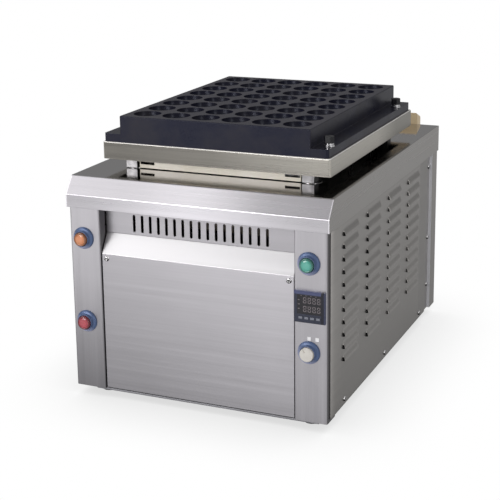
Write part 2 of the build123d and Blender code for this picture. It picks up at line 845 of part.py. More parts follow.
def front_column(side):
    """Folded front column with holes for its controls; side is -1 on the left, 1 on the right."""
    outer = block(column_inner, column_outer, face_y, face_y + column_depth, body_foot, panel_top)
    front_edges = outer.edges().filter_by(Axis.Z).group_by(Axis.Y)[0]
    outer = fillet(front_edges, bend_radius)
    inside = block(column_inner + sheet, column_outer - sheet, face_y + sheet,
                   face_y + column_depth, body_foot, panel_top)
    inner_edges = inside.edges().filter_by(Axis.Z).group_by(Axis.Y)[0]
    inside = fillet(inner_edges, bend_radius - sheet)
    behind_flank = block(column_inner, column_inner + sheet, face_y + flank_depth,
                         face_y + column_depth, body_foot, panel_top)
    column = outer - inside - behind_flank
    for height in (upper_button_height, lower_button_height):
        column -= along_y(button_hole_radius, column_middle - side * control_set_left, height,
                          face_y, face_y + 2 * sheet)
    if side > 0:
        half = controller_body / 2 + seat_gap
        column -= block(column_middle - half, column_middle + half, face_y, face_y + 2 * sheet,
                        controller_height - half, controller_height + half)
    return column if side > 0 else mirrored(column)


def vent_panel():
    """Set-back grille panel that hangs from the deck between the columns."""
    reach = column_inner
    panel = block(-reach, reach, face_y + vent_setback, face_y + vent_setback + sheet,
                  cover_slope_top - vent_panel_lap, deck_height - sheet - seat_gap)
    slots = []
    for i in range(vent_slots):
        x = (i - (vent_slots - 1) / 2) * vent_pitch
        slots.append(slot_cut(x, face_y + vent_setback, vent_slot_middle, vent_slot_height,
                              vent_slot_width))
    return panel - slots


def front_cover():
    """Service cover: a flat front that slopes back at its top to meet the grille panel."""
    reach = column_inner - cover_panel_gap
    y0 = face_y + cover_panel_setback
    y1 = face_y + vent_setback
    slope = (cover_slope_top - cover_panel_top) / (y1 - y0)
    lean = sheet * (math.hypot(1, slope) - slope)
    points = [
        (y0, body_foot + sheet), (y0, cover_panel_top), (y1, cover_slope_top),
        (y1, cover_slope_top - sheet * math.hypot(1, slope)),
        (y0 + sheet, cover_panel_top - lean), (y0 + sheet, body_foot + sheet)]
    return profile_yz(points, -reach, reach) - [screw_hole(p) for p in front_screw_places()]


def louvre(height, y):
    """One pressed louvre on the right panel: its hood and the space under it."""
    def wedge(grow, drop):
        length = louvre_length - 2 * grow
        tall = louvre_height - grow + drop
        deep = louvre_bulge + sheet - grow
        end = 0.12 * length
        solid = Wedge(length, deep, tall, end, 0, length - end, tall * 0.42,
                      align=(Align.CENTER, Align.MIN, Align.MIN))
        return Pos(half_body - sheet, y, height - drop) * Rot(0, 0, -90) * solid
    return wedge(0, 0), wedge(louvre_wall, louvre_wall)


def side_panel(side):
    """Side panel with rows of louvres, a bottom return and a rear return."""
    y0, y1 = face_y + side_panel_start, side_panel_rear
    foot = body_foot + side_panel_lift
    panel = block(half_body - sheet, half_body, y0, y1, foot, panel_top)
    bottom = block(half_body - base_inset - 2 * sheet, half_body - sheet, face_y + column_depth,
                   y1 - 5 * sheet, foot, foot + sheet)
    rear = block(half_body - groove_depth, half_body - sheet, y1 - sheet, y1, foot, panel_top)
    hoods, hollows = [], []
    for column in range(louvre_columns):
        y = face_y + louvre_first + louvre_length / 2 + column * louvre_column_pitch
        for row in range(louvre_rows):
            hood, hollow = louvre(louvre_top_foot - row * louvre_row_pitch, y)
            hoods.append(hood)
            hollows.append(hollow)
    holes = [screw_hole(p) for p in side_screw_places(1)]
    panel = panel + bottom + rear + hoods - hollows - holes
    return panel if side > 0 else mirrored(panel)


def rear_post(side):
    """Folded rear corner: a set-back groove floor, an outer corner and a rear return."""
    low, high = body_foot, panel_top
    outer, floor = half_body, half_body - groove_depth
    step = rear_y - rear_post_width
    post = block(floor - sheet, floor, side_panel_rear - 4 * sheet, step + sheet, low, high)
    post += block(floor, outer, step, step + sheet, low, high)
    post += block(outer - sheet, outer, step, rear_y, low, high)
    post += block(outer - rear_post_return, outer, rear_y - sheet, rear_y, low, high)
    post -= [screw_hole(p) for p in groove_screw_places(1)]
    return post if side > 0 else mirrored(post)


def rear_panel():
    """Back panel with cooling slots and holes for the flue, the gas inlet and the cable gland."""
    reach = half_body - rear_post_return / 2
    panel = block(-reach, reach, rear_y - 2 * sheet, rear_y - sheet, body_foot, panel_top)
    cuts = [block(-flue_inlet_width / 2, flue_inlet_width / 2, rear_y - 3 * sheet, rear_y,
                  flue_inlet_middle - flue_inlet_height / 2,
                  flue_inlet_middle + flue_inlet_height / 2)]
    for i in range(rear_slots):
        x = (i - (rear_slots - 1) / 2) * rear_slot_pitch
        cuts.append(slot_cut(x, rear_y, rear_slot_middle, rear_slot_height, vent_slot_width))
    cuts.append(along_y(inlet_radius - 1, valve_x, inlet_height, rear_y - 2 * sheet, rear_y - sheet))
    cuts.append(along_y(gland_radius - 2 * sheet, gland_x, gland_height, rear_y - 2 * sheet,
                        rear_y - sheet))
    return panel - cuts


def base_plate():
    """Floor of the case with a narrow upturn at each side and a set-in plinth under it."""
    half = half_body - base_inset
    y0, y1 = face_y + 2 * sheet, rear_y - 2 * sheet
    floor = block(-half, half, y0, y1, body_foot - sheet, body_foot)
    for sx in (-1, 1):
        edge = sx * (half - sheet / 2)
        floor += block(edge - sheet / 2, edge + sheet / 2, face_y + column_depth + 2 * sheet,
                       side_panel_rear - 6 * sheet, body_foot, body_foot + side_panel_lift)
    inset = half_body - plinth_inset
    middle = (face_y + plinth_inset + rear_y - plinth_inset) / 2
    half_y = (rear_y - face_y) / 2 - plinth_inset
    ring = rounded_bar(inset, half_y, middle, foot_height, body_foot - sheet, bend_radius)
    ring -= rounded_bar(inset - sheet, half_y - sheet, middle, foot_height, body_foot - sheet,
                        bend_radius - sheet)
    pads = [block(x - foot_radius, x + foot_radius, y - foot_radius, y + foot_radius,
                  foot_height, foot_height + sheet) for x, y in foot_places()]
    return floor + ring + pads


def foot_places():
    """Middles of the four feet, just inside the plinth."""
    reach = half_body - plinth_inset - foot_radius - sheet / 2
    for sx in (-1, 1):
        yield sx * reach, face_y + plinth_inset + foot_radius + sheet / 2
        yield sx * reach, rear_y - plinth_inset - foot_radius - sheet / 2


def rubber_feet():
    """Round rubber pads under the plinth corners."""
    feet = []
    for x, y in foot_places():
        pad = upright(foot_radius - 2, x, y, 0, foot_height)
        feet.append(chamfer(pad.faces().sort_by(Axis.Z)[0].edges(), 0.8))
    return feet


# ---- controls -------------------------------------------------------------------------------
control_places = [
    (sx * column_middle - control_set_left, height)
    for sx in (-1, 1) for height in (upper_button_height, lower_button_height)]


def control_bezel(x, z):
    """Conical bezel and collar of one control, with its barrel through the column."""
    foot = face_y
    ring = Pos(x, foot - bezel_thickness / 2, z) * Rot(90, 0, 0) * Cone(
        bezel_radius, bezel_radius - 1.8, bezel_thickness)
    collar = along_y(collar_radius, x, z, foot - collar_length, foot)
    barrel = along_y(button_hole_radius - 0.15, x, z, foot, foot + barrel_length)
    bore = along_y(button_radius + button_clearance, x, z, foot - collar_length, foot + barrel_length)
    return ring + collar + barrel - bore


def push_button(x, z):
    """Lens cap with a softened rim and a stem inside the bezel."""
    front = face_y - button_projection
    cap = along_y(button_radius, x, z, front, face_y + 2)
    rim = cap.faces().sort_by(Axis.Y)[0].edges()
    cap = chamfer(rim, 1.2)
    stem = along_y(button_radius / 2, x, z, face_y + 2, face_y + barrel_length - button_travel)
    return cap + stem


def selector_knob(x, z):
    """Round two-position knob with a pointer groove, set towards its left mark at rest."""
    front = face_y - button_projection
    groove = Pos(0, front, button_radius - knob_groove_length / 2 - 1) * Box(
        knob_groove_width, 2 * knob_groove_depth, knob_groove_length)
    return push_button(x, z) - Pos(x, 0, z) * Rot(0, -30, 0) * groove


def contact_blocks():
    """Switch blocks behind the four controls."""
    blocks = []
    for x, z in control_places:
        y0 = face_y + barrel_length
        body = block(x - contact_block / 2, x + contact_block / 2, y0, y0 + contact_length - 12,
                     z - contact_block / 2, z + contact_block / 2)
        nut = Pos(x, face_y + sheet + 4, z) * Rot(90, 0, 0) * extrude(
            RegularPolygon(14, 6, major_radius=False), amount=4)
        nut -= along_y(button_hole_radius - 0.15, x, z, face_y + sheet, face_y + sheet + 4)
        blocks.extend([body, nut])
    return blocks


key_names = ["key_mode", "key_shift", "key_down", "key_up"]


def key_places():
    """Middles of the four keys along the foot of the controller."""
    for i, name in enumerate(key_names):
        yield name, column_middle + (i - 1.5) * key_pitch, controller_height - key_drop


def controller_case():
    """Square panel instrument: bezel, body, display window recess and key pockets."""
    half = controller_size / 2
    x0, x1 = column_middle - half, column_middle + half
    bezel = block(x0, x1, face_y - controller_bezel, face_y, controller_height - half,
                  controller_height + half)
    bezel = chamfer(bezel.faces().sort_by(Axis.Y)[0].edges(), 1.4)
    body_half = controller_body / 2
    body = block(column_middle - body_half, column_middle + body_half, face_y,
                 face_y + controller_depth, controller_height - body_half,
                 controller_height + body_half)
    window_half = controller_window / 2
    window = block(column_middle - window_half, column_middle + window_half,
                   face_y - controller_bezel, face_y - controller_bezel + 1.2,
                   controller_height - 10, controller_height + window_half)
    case = bezel + body - window
    for _, x, z in key_places():
        case -= block(x - key_width / 2 - 0.2, x + key_width / 2 + 0.2, face_y - controller_bezel,
                      face_y - 1, z - key_height / 2 - 0.2, z + key_height / 2 + 0.2)
    return case


def controller_window_pane():
    """Smoked pane in the controller's display recess."""
    half = controller_window / 2 - 0.05
    return block(column_middle - half, column_middle + half, face_y - controller_bezel + 0.2,
                 face_y - controller_bezel + 1.2, controller_height - 9.95,
                 controller_height + half)


def controller_key(x, z):
    """One small key that stands a little proud of the controller's face."""
    front = face_y - controller_bezel - key_proud
    return block(x - key_width / 2, x + key_width / 2, front, face_y - 1 - key_travel - 0.2,
                 z - key_height / 2, z + key_height / 2)


# ---- electrics ------------------------------------------------------------------------------
def ignition_box():
    """Closed box of the spark and flame control, on the base at the left."""
    x0, y0 = ignition_from_side - half_body, face_y + ignition_from_front
    box = block(x0, x0 + ignition_width, y0, y0 + ignition_depth, body_foot,
                body_foot + ignition_height)
    return chamfer(box.edges().filter_by(Axis.Z), ignition_corner)


def terminal_block():
    """Row of screw terminals on the base, at the rear right, with a wall between each pair."""
    x1, y1 = half_body - terminal_from_side, rear_y - terminal_from_rear
    x0, y0 = x1 - terminal_length, y1 - terminal_depth
    top = body_foot + terminal_height
    strip = block(x0, x1, y0, y1, body_foot, top)
    walls = []
    for i in range(terminals + 1):
        x = (x0 + x1) / 2 + (i - terminals / 2) * terminal_pitch
        walls.append(block(x - terminal_wall / 2, x + terminal_wall / 2, y0, y1, top,
                           top + terminal_wall_height))
    return strip + walls


def cable_gland():
    """Cable gland through the rear panel, bored for a lead."""
    y0 = rear_y - sheet
    y1 = y0 + 2 * gland_flange
    back = y0 - sheet - gland_neck
    nut = Pos(gland_x, y0, gland_height) * Rot(-90, 0, 0) * extrude(
        RegularPolygon(gland_radius, 6, major_radius=False), amount=2 * gland_flange)
    dome = along_y(gland_radius - 2 * sheet + 1, gland_x, gland_height, y1, y0 + gland_length)
    neck = along_y(gland_radius - 2 * sheet, gland_x, gland_height, back, y0)
    bore = along_y(gland_bore, gland_x, gland_height, back, y0 + gland_length)
    return nut + dome + neck - bore


# ---- fasteners ------------------------------------------------------------------------------
def front_screw_places():
    """Top corners of the service cover."""
    reach = column_inner - cover_panel_gap - cover_screw_inset
    y, z = face_y + cover_panel_setback, cover_panel_top - cover_screw_drop
    for sx in (-1, 1):
        yield Pos(sx * reach, y, z) * Rot(90, 0, 0)


def side_screw_places(side):
    """Three places along the foot of one side panel."""
    length = side_panel_rear - face_y - side_panel_start
    z = body_foot + side_panel_lift + panel_screw_lift
    for share in side_screw_shares:
        y = face_y + side_panel_start + share * length
        yield Pos(side * half_body, y, z) * Rot(0, side * 90, 0)


def groove_screw_places(side):
    """Three places down one rear groove."""
    y = side_panel_rear + groove_width * groove_screw_share
    for drop in groove_screw_drops:
        place = Pos(side * (half_body - groove_depth), y, deck_height - drop)
        yield place * Rot(0, side * 90, 0)


def main():
    """Build and write every node."""
    save(cooking_plate(), "cooking_plate")
    save(temperature_probe(), "temperature_probe")
    save(carrier_tray(), "carrier_tray")
    save(heat_skirt(), "heat_skirt")
    save(support_posts(), "support_posts")
    save(post_bushes(), "post_bushes")
    save(plate_bolts(), "plate_bolts")
    save(plate_washers(), "plate_washers")

    drive_x, drive_y = crank_places["drive_crank"]
    for name, (x, y) in crank_places.items():
        tail = crank_tail if name == "drive_crank" else rail_bottom - shaft_tail
        save(crank(x, y, tail), name)
    save([bearing_housing(x, y) for x, y in crank_places.values()], "bearing_housings")
    save([drive_rail(orbit_y + sy * post_spacing_y / 2) for sy in (-1, 1)], "drive_rails")
    save(motor_bracket(drive_x, drive_y), "motor_bracket")
    save(gearbox(drive_x, drive_y), "gearbox")
    save(drive_motor(drive_x, drive_y), "drive_motor")
    save(output_shaft(drive_x, drive_y), "output_shaft")
    save(shaft_coupling(drive_x, drive_y), "shaft_coupling")

    save(burner_box(), "burner_box")
    save([burner_tube(x) for x in burner_columns], "burner_tubes")
    save(gas_manifold(), "gas_manifold")
    save(injectors(), "injectors")
    save(gas_valve(), "gas_valve")
    save(valve_stand(), "valve_stand")
    save(gas_pipes(), "gas_pipes")
    save(gas_inlet(), "gas_inlet")
    save(electrodes(), "electrodes")
    save(exhaust_flue(), "exhaust_flue")

    save(top_cover(), "top_cover")
    for side, name in ((-1, "left"), (1, "right")):
        save(front_column(side), f"front_column_{name}")
        save(side_panel(side), f"side_panel_{name}")
        save(rear_post(side), f"rear_post_{name}")
    save(vent_panel(), "vent_panel")
    save(front_cover(), "front_cover")
    save(rear_panel(), "rear_panel")
    save(base_plate(), "base_plate")
    save(rubber_feet(), "rubber_feet")

    save([control_bezel(x, z) for x, z in control_places], "control_bezels")
    save(contact_blocks(), "contact_blocks")
    for name, place in zip(("orange_button", "red_button", "green_button"), control_places):
        save(push_button(*place), name)
    save(selector_knob(*control_places[3]), "selector_knob")
    save(controller_case(), "controller_case")
    save(controller_window_pane(), "controller_window")
    for name, x, z in key_places():
        save(controller_key(x, z), name)

    save(ignition_box(), "ignition_box")
    save(terminal_block(), "terminal_block")
    save(cable_gland(), "cable_gland")

    save([domed_screw(p) for p in front_screw_places()], "front_cover_screws")
    for name, places in (("side_screws", side_screw_places), ("groove_screws", groove_screw_places)):
        save([domed_screw(p) for side in (-1, 1) for p in places(side)], name)


main()
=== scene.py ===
"""The finished look of a countertop takoyaki maker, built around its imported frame.

It is laid out as an add-on and run as a script. Each operator dresses one piece or a group of like
pieces; the last one sets the stage. Lengths are metres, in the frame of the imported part: +Z up,
the controls towards -Y.
"""

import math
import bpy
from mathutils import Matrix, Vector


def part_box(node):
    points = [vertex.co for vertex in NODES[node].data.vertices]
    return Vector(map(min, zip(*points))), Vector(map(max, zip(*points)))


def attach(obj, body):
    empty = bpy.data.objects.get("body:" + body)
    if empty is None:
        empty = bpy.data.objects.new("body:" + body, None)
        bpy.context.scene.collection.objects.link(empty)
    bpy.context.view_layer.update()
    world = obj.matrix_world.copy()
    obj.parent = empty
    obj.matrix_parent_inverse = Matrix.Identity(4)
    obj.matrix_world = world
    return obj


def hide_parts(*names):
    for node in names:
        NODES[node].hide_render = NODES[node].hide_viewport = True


bl_info = {
    "name": "Takoyaki Maker",
    "version": (1, 0, 0),
    "blender": (4, 5, 0),
    "location": "3D View > Sidebar > Takoyaki",
    "description": "Sheet steel, cast plate and controls of a gas takoyaki maker",
    "category": "Object",
}

from functools import reduce

import bmesh
import bpy
import numpy as np
from bpy.props import FloatProperty, FloatVectorProperty, IntProperty, PointerProperty
from mathutils import Matrix, Vector

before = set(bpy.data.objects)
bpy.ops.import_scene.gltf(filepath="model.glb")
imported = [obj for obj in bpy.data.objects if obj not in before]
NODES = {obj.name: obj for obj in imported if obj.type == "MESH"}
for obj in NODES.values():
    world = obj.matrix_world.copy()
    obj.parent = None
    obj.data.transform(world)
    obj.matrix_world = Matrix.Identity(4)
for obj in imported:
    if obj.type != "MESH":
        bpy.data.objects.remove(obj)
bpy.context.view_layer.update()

WELD = 1e-6  # points of a shell closer than this are one point
NOISE_RUN = (0.3, 0.7)  # most of a noise lies between these
RIM_RISE = 0.002  # the deck is the highest level of the cover that is this far below its rim
PANEL_INSET = 0.0045  # the plane of a side panel lies this far inside its box
FOOT_FOLD, BACK_FOLD = 0.011, 0.006  # how far the folds of a side panel reach inwards
FOOT_START, FOOT_STOP = 0.03, 0.008  # from the panel's front and back edges to the foot's fold
SCREW_RADIUS, SCREW_HEIGHT = 0.004, 0.0022
BOLT_HEAD, SHANK_RADIUS = 0.010, 0.004
CONTROLS = ("orange_button", "red_button", "green_button", "selector_knob")
CAP_RELIEF = 0.0032  # a cap's stem is this much shorter than the solid, to clear its contacts
MARKS = (0.0003, 0.0122)  # middles of the printed marks, across from the knob's middle
MARK_FILM = (0.00004, 0.00016)  # foot and top of a printed mark, out from the sheet
FIGURE_FILM = (0.00005, 0.00018)  # foot and top of the display's strokes, out from the pane
FIGURES_ASIDE = 0.0035  # middle of each row of figures, from the pane's middle
LAMP_BAR = (-0.0168, -0.0005, 0.0026, 0.0010)  # x, z, width and height about a row's middle
KEY_TICK = (-0.0129, 0.0124, 0.0018, 0.0006)  # the same of the first tick on the pane
TICK_PITCH = 0.0072  # from one tick to the next

# Painted light and shade across or up a sheet: its colour is multiplied by these levels in place of
# how the lamps fall on it. A shade is a tuple of stretches that are added up, each as
# (start, end, level at the start, level at the end), in metres and in shares of the sheet's colour.
COVER_SLOPE_SHADE = ((-0.12, 0.0, 0.85, 1.03), (0.0, 0.13, 0.0, -0.36))
COVER_LIP_SHADE = ((-0.19, 0.0, 0.85, 1.40), (0.0, 0.19, 0.0, -0.44))
LEFT_COLUMN_SHADE = ((0.03, 0.19, 0.60, 0.90),)
RIGHT_COLUMN_SHADE = ((0.02, 0.25, 1.03, 0.88),)
FRONT_SHADE = ((-0.15, 0.12, 0.86, 1.13),)
TRAY_FRONT_SHADE = ((-0.15, 0.0, 0.29, 0.38), (0.0, 0.16, 0.0, 0.34))
TRAY_SIDE_SHADE = ((0.0, 0.10, 1.12, 0.66),)


def scaled(base, level, lift=0.0):
    """A colour times a level, plus a lift, at most white."""
    return tuple(min(1.0, c * level + lift) for c in base)


def deck_height():
    """Height of the cover's deck, which lies below the rim round its opening."""
    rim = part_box("top_cover")[1].z
    return max(v.co.z for v in NODES["top_cover"].data.vertices if v.co.z < rim - RIM_RISE)


# ---- settings -------------------------------------------------------------------------------
def number(name, description, default, **limits):
    """A plain setting."""
    return FloatProperty(name=name, description=description, default=default, **limits)


def length(name, description, default):
    """A length setting in metres."""
    return number(name, description, default, min=0.0, unit="LENGTH", precision=4)


def share(name, description, default):
    """A setting from nothing to one."""
    return number(name, description, default, min=0.0, max=1.0, subtype="FACTOR")


def heading(name, description, degrees):
    """An angle setting."""
    return number(name, description, math.radians(degrees), subtype="ANGLE")


def colour(name, description, default):
    """A colour setting without alpha."""
    return FloatVectorProperty(name=name, description=description, default=default,
                               subtype="COLOR", size=3, min=0.0, max=1.0)


class SteelSettings(bpy.types.PropertyGroup):
    """Colours and grain of the sheet metal."""

    front: colour("Front sheet", "Brushed sheet of the front", (0.56, 0.545, 0.575))
    # Painted highlight: paler colour of the same steel where the cover's head slopes up to the
    # light.
    slope: colour("Front slope", "Sloping head of the front cover", (0.88, 0.875, 0.885))
    # Painted shade: the sides and back are the same steel as the front, darker in colour for shade.
    side: colour("Side sheet", "Brushed sheet of the sides and back", (0.47, 0.455, 0.44))
    # Painted highlight: the folds of the rear posts are the same steel, paler in colour for the
    # light they catch.
    fold: colour("Post fold", "Bright fold of the rear posts", (0.82, 0.83, 0.88))
    deck: colour("Deck", "Mirror polished deck", (0.56, 0.545, 0.545))
    tray: colour("Tray", "Satin carrier frame", (0.60, 0.575, 0.52))
    # Painted highlight: the crest is the same satin steel, paler in colour for the light it catches.
    crest: colour("Tray crest", "Rounded upper edge of the carrier frame", (0.96, 0.94, 0.92))
    flue: colour("Flue", "Flue sheet under its heat tint", (0.60, 0.52, 0.38))
    tint_foot: colour("Tint at the foot", "Heat tint low on the flue", (0.80, 0.70, 0.54))
    tint_middle: colour("Tint in the middle", "Heat tint of the flue", (0.93, 0.74, 0.46))
    tint_rim: colour("Tint at the rim", "Heat tint high on the flue", (0.95, 0.74, 0.46))
    plinth: colour("Plinth", "Painted base plate", (0.26, 0.26, 0.28))
    rubber: colour("Rubber", "Feet", (0.028, 0.028, 0.028))
    rough: share("Roughness", "Roughness of brushed sheet", 0.34)
    grain: length("Grain", "Spacing of the brushed lines", 0.0011)
    edge: length("Edge", "Softening of folded and sheared edges", 0.0006)


class PlateSettings(bpy.types.PropertyGroup):
    """Cast plate, enamel and bright parts of the carriage."""

    iron: colour("Iron", "Seasoned cast iron", (0.0090, 0.0094, 0.022))
    seasoning: colour("Seasoning", "Browner film on the iron", (0.020, 0.018, 0.024))
    rubbed: colour("Rubbed edge", "Iron where its edges are rubbed", (0.085, 0.083, 0.092))
    land: colour("Land", "Rubbed top between the cups", (0.064, 0.061, 0.074))
    enamel: colour("Enamel", "Cream stoved enamel", (0.96, 0.92, 0.82))
    speck: colour("Speck", "Grey specks in the enamel", (0.35, 0.31, 0.26))
    # Painted shade: near black for the skirt's sides in the shadow under the tray.
    skirt_side_shade: colour("Scorched", "Heat blackened sides of the skirt", (0.022, 0.021, 0.023))
    bright: colour("Bright steel", "Turned and plated steel", (0.74, 0.735, 0.75))
    screw: colour("Screws", "Plated pan-head screws", (0.92, 0.91, 0.92))
    bolt: colour("Bolts", "Blacked bolts of the plate", (0.006, 0.006, 0.009))
    bronze: colour("Bronze", "Bushes of the posts", (0.55, 0.36, 0.18))


class LouvreSettings(bpy.types.PropertyGroup):
    """Pressed louvres of the side panels."""

    rows: IntProperty(name="Rows", description="Louvres one above another", default=11, min=1)
    columns: IntProperty(name="Columns", description="Louvres side by side", default=4, min=1)
    long: length("Length", "Length of one louvre", 0.064)
    tall: length("Height", "Height of one louvre", 0.0125)
    bulge: length("Bulge", "How far a louvre stands out", 0.0044)
    ramp: length("Ramp", "Length of a louvre's sloping end", 0.0075)
    pitch_y: length("Column pitch", "From one column to the next", 0.1064)
    pitch_z: length("Row pitch", "From one row to the next", 0.0186)
    first: length("First louvre", "From the panel's front edge to the first louvre", 0.050)
    top: length("Top louvre", "From the panel's top to the foot of the top louvre", 0.038)
    open_end: length("Open end", "Height of the dark opening at a louvre's ends", 0.0055)
    # Painted shade: the open ends are strips of the louvres' skin in the dark mouth colour.
    sheet: length("Sheet", "Thickness of the panel", 0.0014)
    # Painted shade inside the louvres: near black at the front, less dark at the back.
    near: colour("Near mouths", "Inside of the louvres towards the front", (0.004, 0.004, 0.005))
    far: colour("Far mouths", "Inside of the louvres towards the back", (0.040, 0.038, 0.036))


class ControlSettings(bpy.types.PropertyGroup):
    """Buttons, selector and temperature controller."""

    bezel: colour("Bezel", "Blue grey control bezels", (0.075, 0.115, 0.225))
    # Painted reflection: paler colour where the bezels look down towards the bright floor.
    pale: colour("Pale bezel", "Undersides of the bezels", (0.34, 0.36, 0.50))
    orange: colour("Orange lens", "Upper left cap", (0.56, 0.21, 0.085))
    red: colour("Red lens", "Lower left cap", (0.38, 0.045, 0.065))
    green: colour("Green lens", "Upper right cap", (0.075, 0.36, 0.29))
    ivory: colour("Ivory knob", "Two-position selector", (0.60, 0.58, 0.54))
    mark: colour("Marks", "Printed marks over the selector", (0.86, 0.86, 0.88))
    mark_wide: length("Mark width", "Width of a printed mark", 0.0052)
    mark_tall: length("Mark height", "Height of a printed mark", 0.0056)
    mark_rise: length("Mark place", "Foot of the marks above the knob's middle", 0.0175)
    case: colour("Controller", "Navy controller bezel", (0.020, 0.024, 0.046))
    # Painted light on the controller bezel: a highlight along its top, shade down its right side and
    # a highlight at its right edge.
    case_top_highlight: colour("Controller top", "Bezel along its top", (0.062, 0.074, 0.165))
    case_side_shade: colour("Controller side", "Bezel down its right side", (0.006, 0.007, 0.018))
    case_rim_highlight: colour("Controller rim", "Bezel at its right edge", (0.050, 0.058, 0.115))
    pane: colour("Pane", "Smoked display pane", (0.010, 0.010, 0.014))
    smear: colour("Smear", "Smears on the pane", (0.018, 0.017, 0.021))
    key: colour("Keys", "Grey keys", (0.17, 0.18, 0.22))
    # Also given to the segments as a faint painted glow.
    digit: colour("Digits", "Display segments", (0.20, 0.175, 0.19))
    digit_wide: length("Digit width", "Width of one figure", 0.0046)
    digit_tall: length("Digit height", "Height of one figure", 0.0085)
    digit_pitch: length("Digit pitch", "From one figure to the next", 0.0068)
    stroke: length("Stroke", "Width of one segment", 0.0009)
    upper_row: length("Upper row", "Upper figures above the pane's middle", 0.0062)
    lower_row: length("Lower row", "Lower figures below the pane's middle", 0.0064)


class StudioSettings(bpy.types.PropertyGroup):
    """Camera, lamps and floor."""

    lens: number("Lens", "Focal length in millimetres", 91.0473, min=10.0)
    shift: FloatVectorProperty(
        name="Shift", description="Lens shift across and up, as a share of the picture's width",
        size=2, default=(0.0, -0.15))
    reach: FloatVectorProperty(
        name="Camera place", description="Camera from the middle of the cover's front edge",
        subtype="XYZ", unit="LENGTH", default=(0.75524, -1.54450, 0.43038))
    turn: heading("Turn", "Camera heading", 23.310)
    dip: heading("Dip", "Camera looks down", 13.446)
    roll: heading("Roll", "Camera roll", -0.696)
    key: number("Key", "Power of the large front lamp", 23.0, min=0.0)
    top: number("Top", "Power of the overhead lamp", 11.0, min=0.0)
    side: number("Side", "Power of the side lamp", 9.0, min=0.0)
    air: share("Air", "Level of the plain surroundings", 0.50)
    floor: share("Floor", "How pale the floor is", 0.85)
    front_floor: number("Front floor", "Floor in front, as metal sees it", 1.18, min=0.0)
    far_floor: share("Far floor", "Floor well in front, as metal sees it", 0.30)
    back_floor: share("Back floor", "Floor beside and behind, as metal sees it", 0.43)
    horizon: share("Horizon", "Surroundings low down, as metal sees them", 0.36)
    zenith: share("Zenith", "Surroundings overhead, as metal sees them", 0.62)
    behind: share("Behind", "How much dimmer the back is than the front", 0.75)


GROUPS = {
    "tako_steel": SteelSettings,
    "tako_plate": PlateSettings,
    "tako_louvre": LouvreSettings,
    "tako_control": ControlSettings,
    "tako_studio": StudioSettings,
}


def settings(name):
    """The settings of one group in the scene."""
    return getattr(bpy.context.scene, f"tako_{name}")


# ---- shapes ---------------------------------------------------------------------------------
def turn_outwards(mesh):
    """Turns a closed shell's faces outwards after its doubles are merged."""
    shell = bmesh.new()
    shell.from_mesh(mesh)
    bmesh.ops.remove_doubles(shell, verts=shell.verts, dist=WELD)
    bmesh.ops.recalc_face_normals(shell, faces=shell.faces)
    shell.to_mesh(mesh)
    shell.free()


def new_piece(name, shape, body, finish, node=None, smooth=True, closed=True):
    """A mesh object from a shape's points and faces, riding on a body.

    A closed one has its faces turned outwards; the others are made with them that way.
    """
    points, faces = shape
    mesh = bpy.data.meshes.new(name)
    mesh.from_pydata(np.asarray(points, float).tolist(), [], [list(map(int, f)) for f in faces])
    mesh.polygons.foreach_set("use_smooth", np.full(len(mesh.polygons), smooth))
    mesh.update()
    if closed:
        turn_outwards(mesh)
    piece = bpy.data.objects.new(name, mesh)
    bpy.context.scene.collection.objects.link(piece)
    mesh.materials.append(finish.material)
    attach(piece, body)
    if node:
        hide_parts(node)
    return piece


def grid_faces(rows, columns, closed=False):
    """Quads of a grid of rows by columns points, the columns joined round if closed."""
    r = np.arange(rows - 1)[:, None]
    c = np.arange(columns if closed else columns - 1)[None, :]
    a = r * columns + c
    b = r * columns + (c + 1) % columns
    return np.stack([a, b, b + columns, a + columns], -1).reshape(-1, 4)


def fan(pole, first, count, start):
    """Triangles from a pole to a ring of points, wound for the start or the end of a grid."""
    here = first + np.arange(count)
    after = np.roll(here, -1)
    pair = (after, here) if start else (here, after)
    return list(np.stack([np.full(count, pole), *pair], -1))


def square_to(axis):
    """Three unit directions at right angles, the last of them along the axis."""
    axis = Vector(axis).normalized()
    side = axis.orthogonal().normalized()
    return np.array(side), np.array(axis.cross(side)), np.array(axis)


def turned(profile, centre, axis, segments=48):
    """A turned form: point(u, v) = centre + radius(u) * ring(v) + height(u) * axis.

    profile is a list of (radius, height); a radius of nothing closes the form with a pole.
    """
    profile, centre = np.array(profile, float), np.array(centre)
    side, other, axis = square_to(axis)
    angle = np.arange(segments) * 2 * math.pi / segments
    ring = np.outer(np.cos(angle), side) + np.outer(np.sin(angle), other)
    poles = profile[:, 0] < 1e-9
    body = profile[~poles]
    points = (centre + body[:, 0, None, None] * ring
              + body[:, 1, None, None] * axis).reshape(-1, 3)
    faces = list(grid_faces(len(body), segments, closed=True))
    for end, first in ((0, 0), (-1, len(points) - segments)):
        if poles[end]:
            faces += fan(len(points), first, segments, end == 0)
            points = np.vstack([points, centre + profile[end, 1] * axis])
    return points, faces


def joined(parts):
    """Several (points, faces) as one."""
    points, faces, base = [], [], 0
    for p, f in parts:
        points.append(p)
        faces += [tuple(int(i) + base for i in face) for face in f]
        base += len(p)
    return np.vstack(points), faces


def cuboid(low, high):
    """The eight corners and six faces of a box between two corners."""
    lo, hi = np.minimum(low, high), np.maximum(low, high)
    corners = np.array([[x, y, z] for z in (0, 1) for y in (0, 1) for x in (0, 1)])
    faces = [(0, 2, 3, 1), (4, 5, 7, 6), (0, 1, 5, 4), (2, 6, 7, 3), (0, 4, 6, 2), (1, 3, 7, 5)]
    return lo + corners * (hi - lo), faces


def film(x, z, face, layer):
    """A thin upright plate in front of a face, between two x, two z and a film's foot and top."""
    return cuboid((x[0], face - layer[0], z[0]), (x[1], face - layer[1], z[1]))


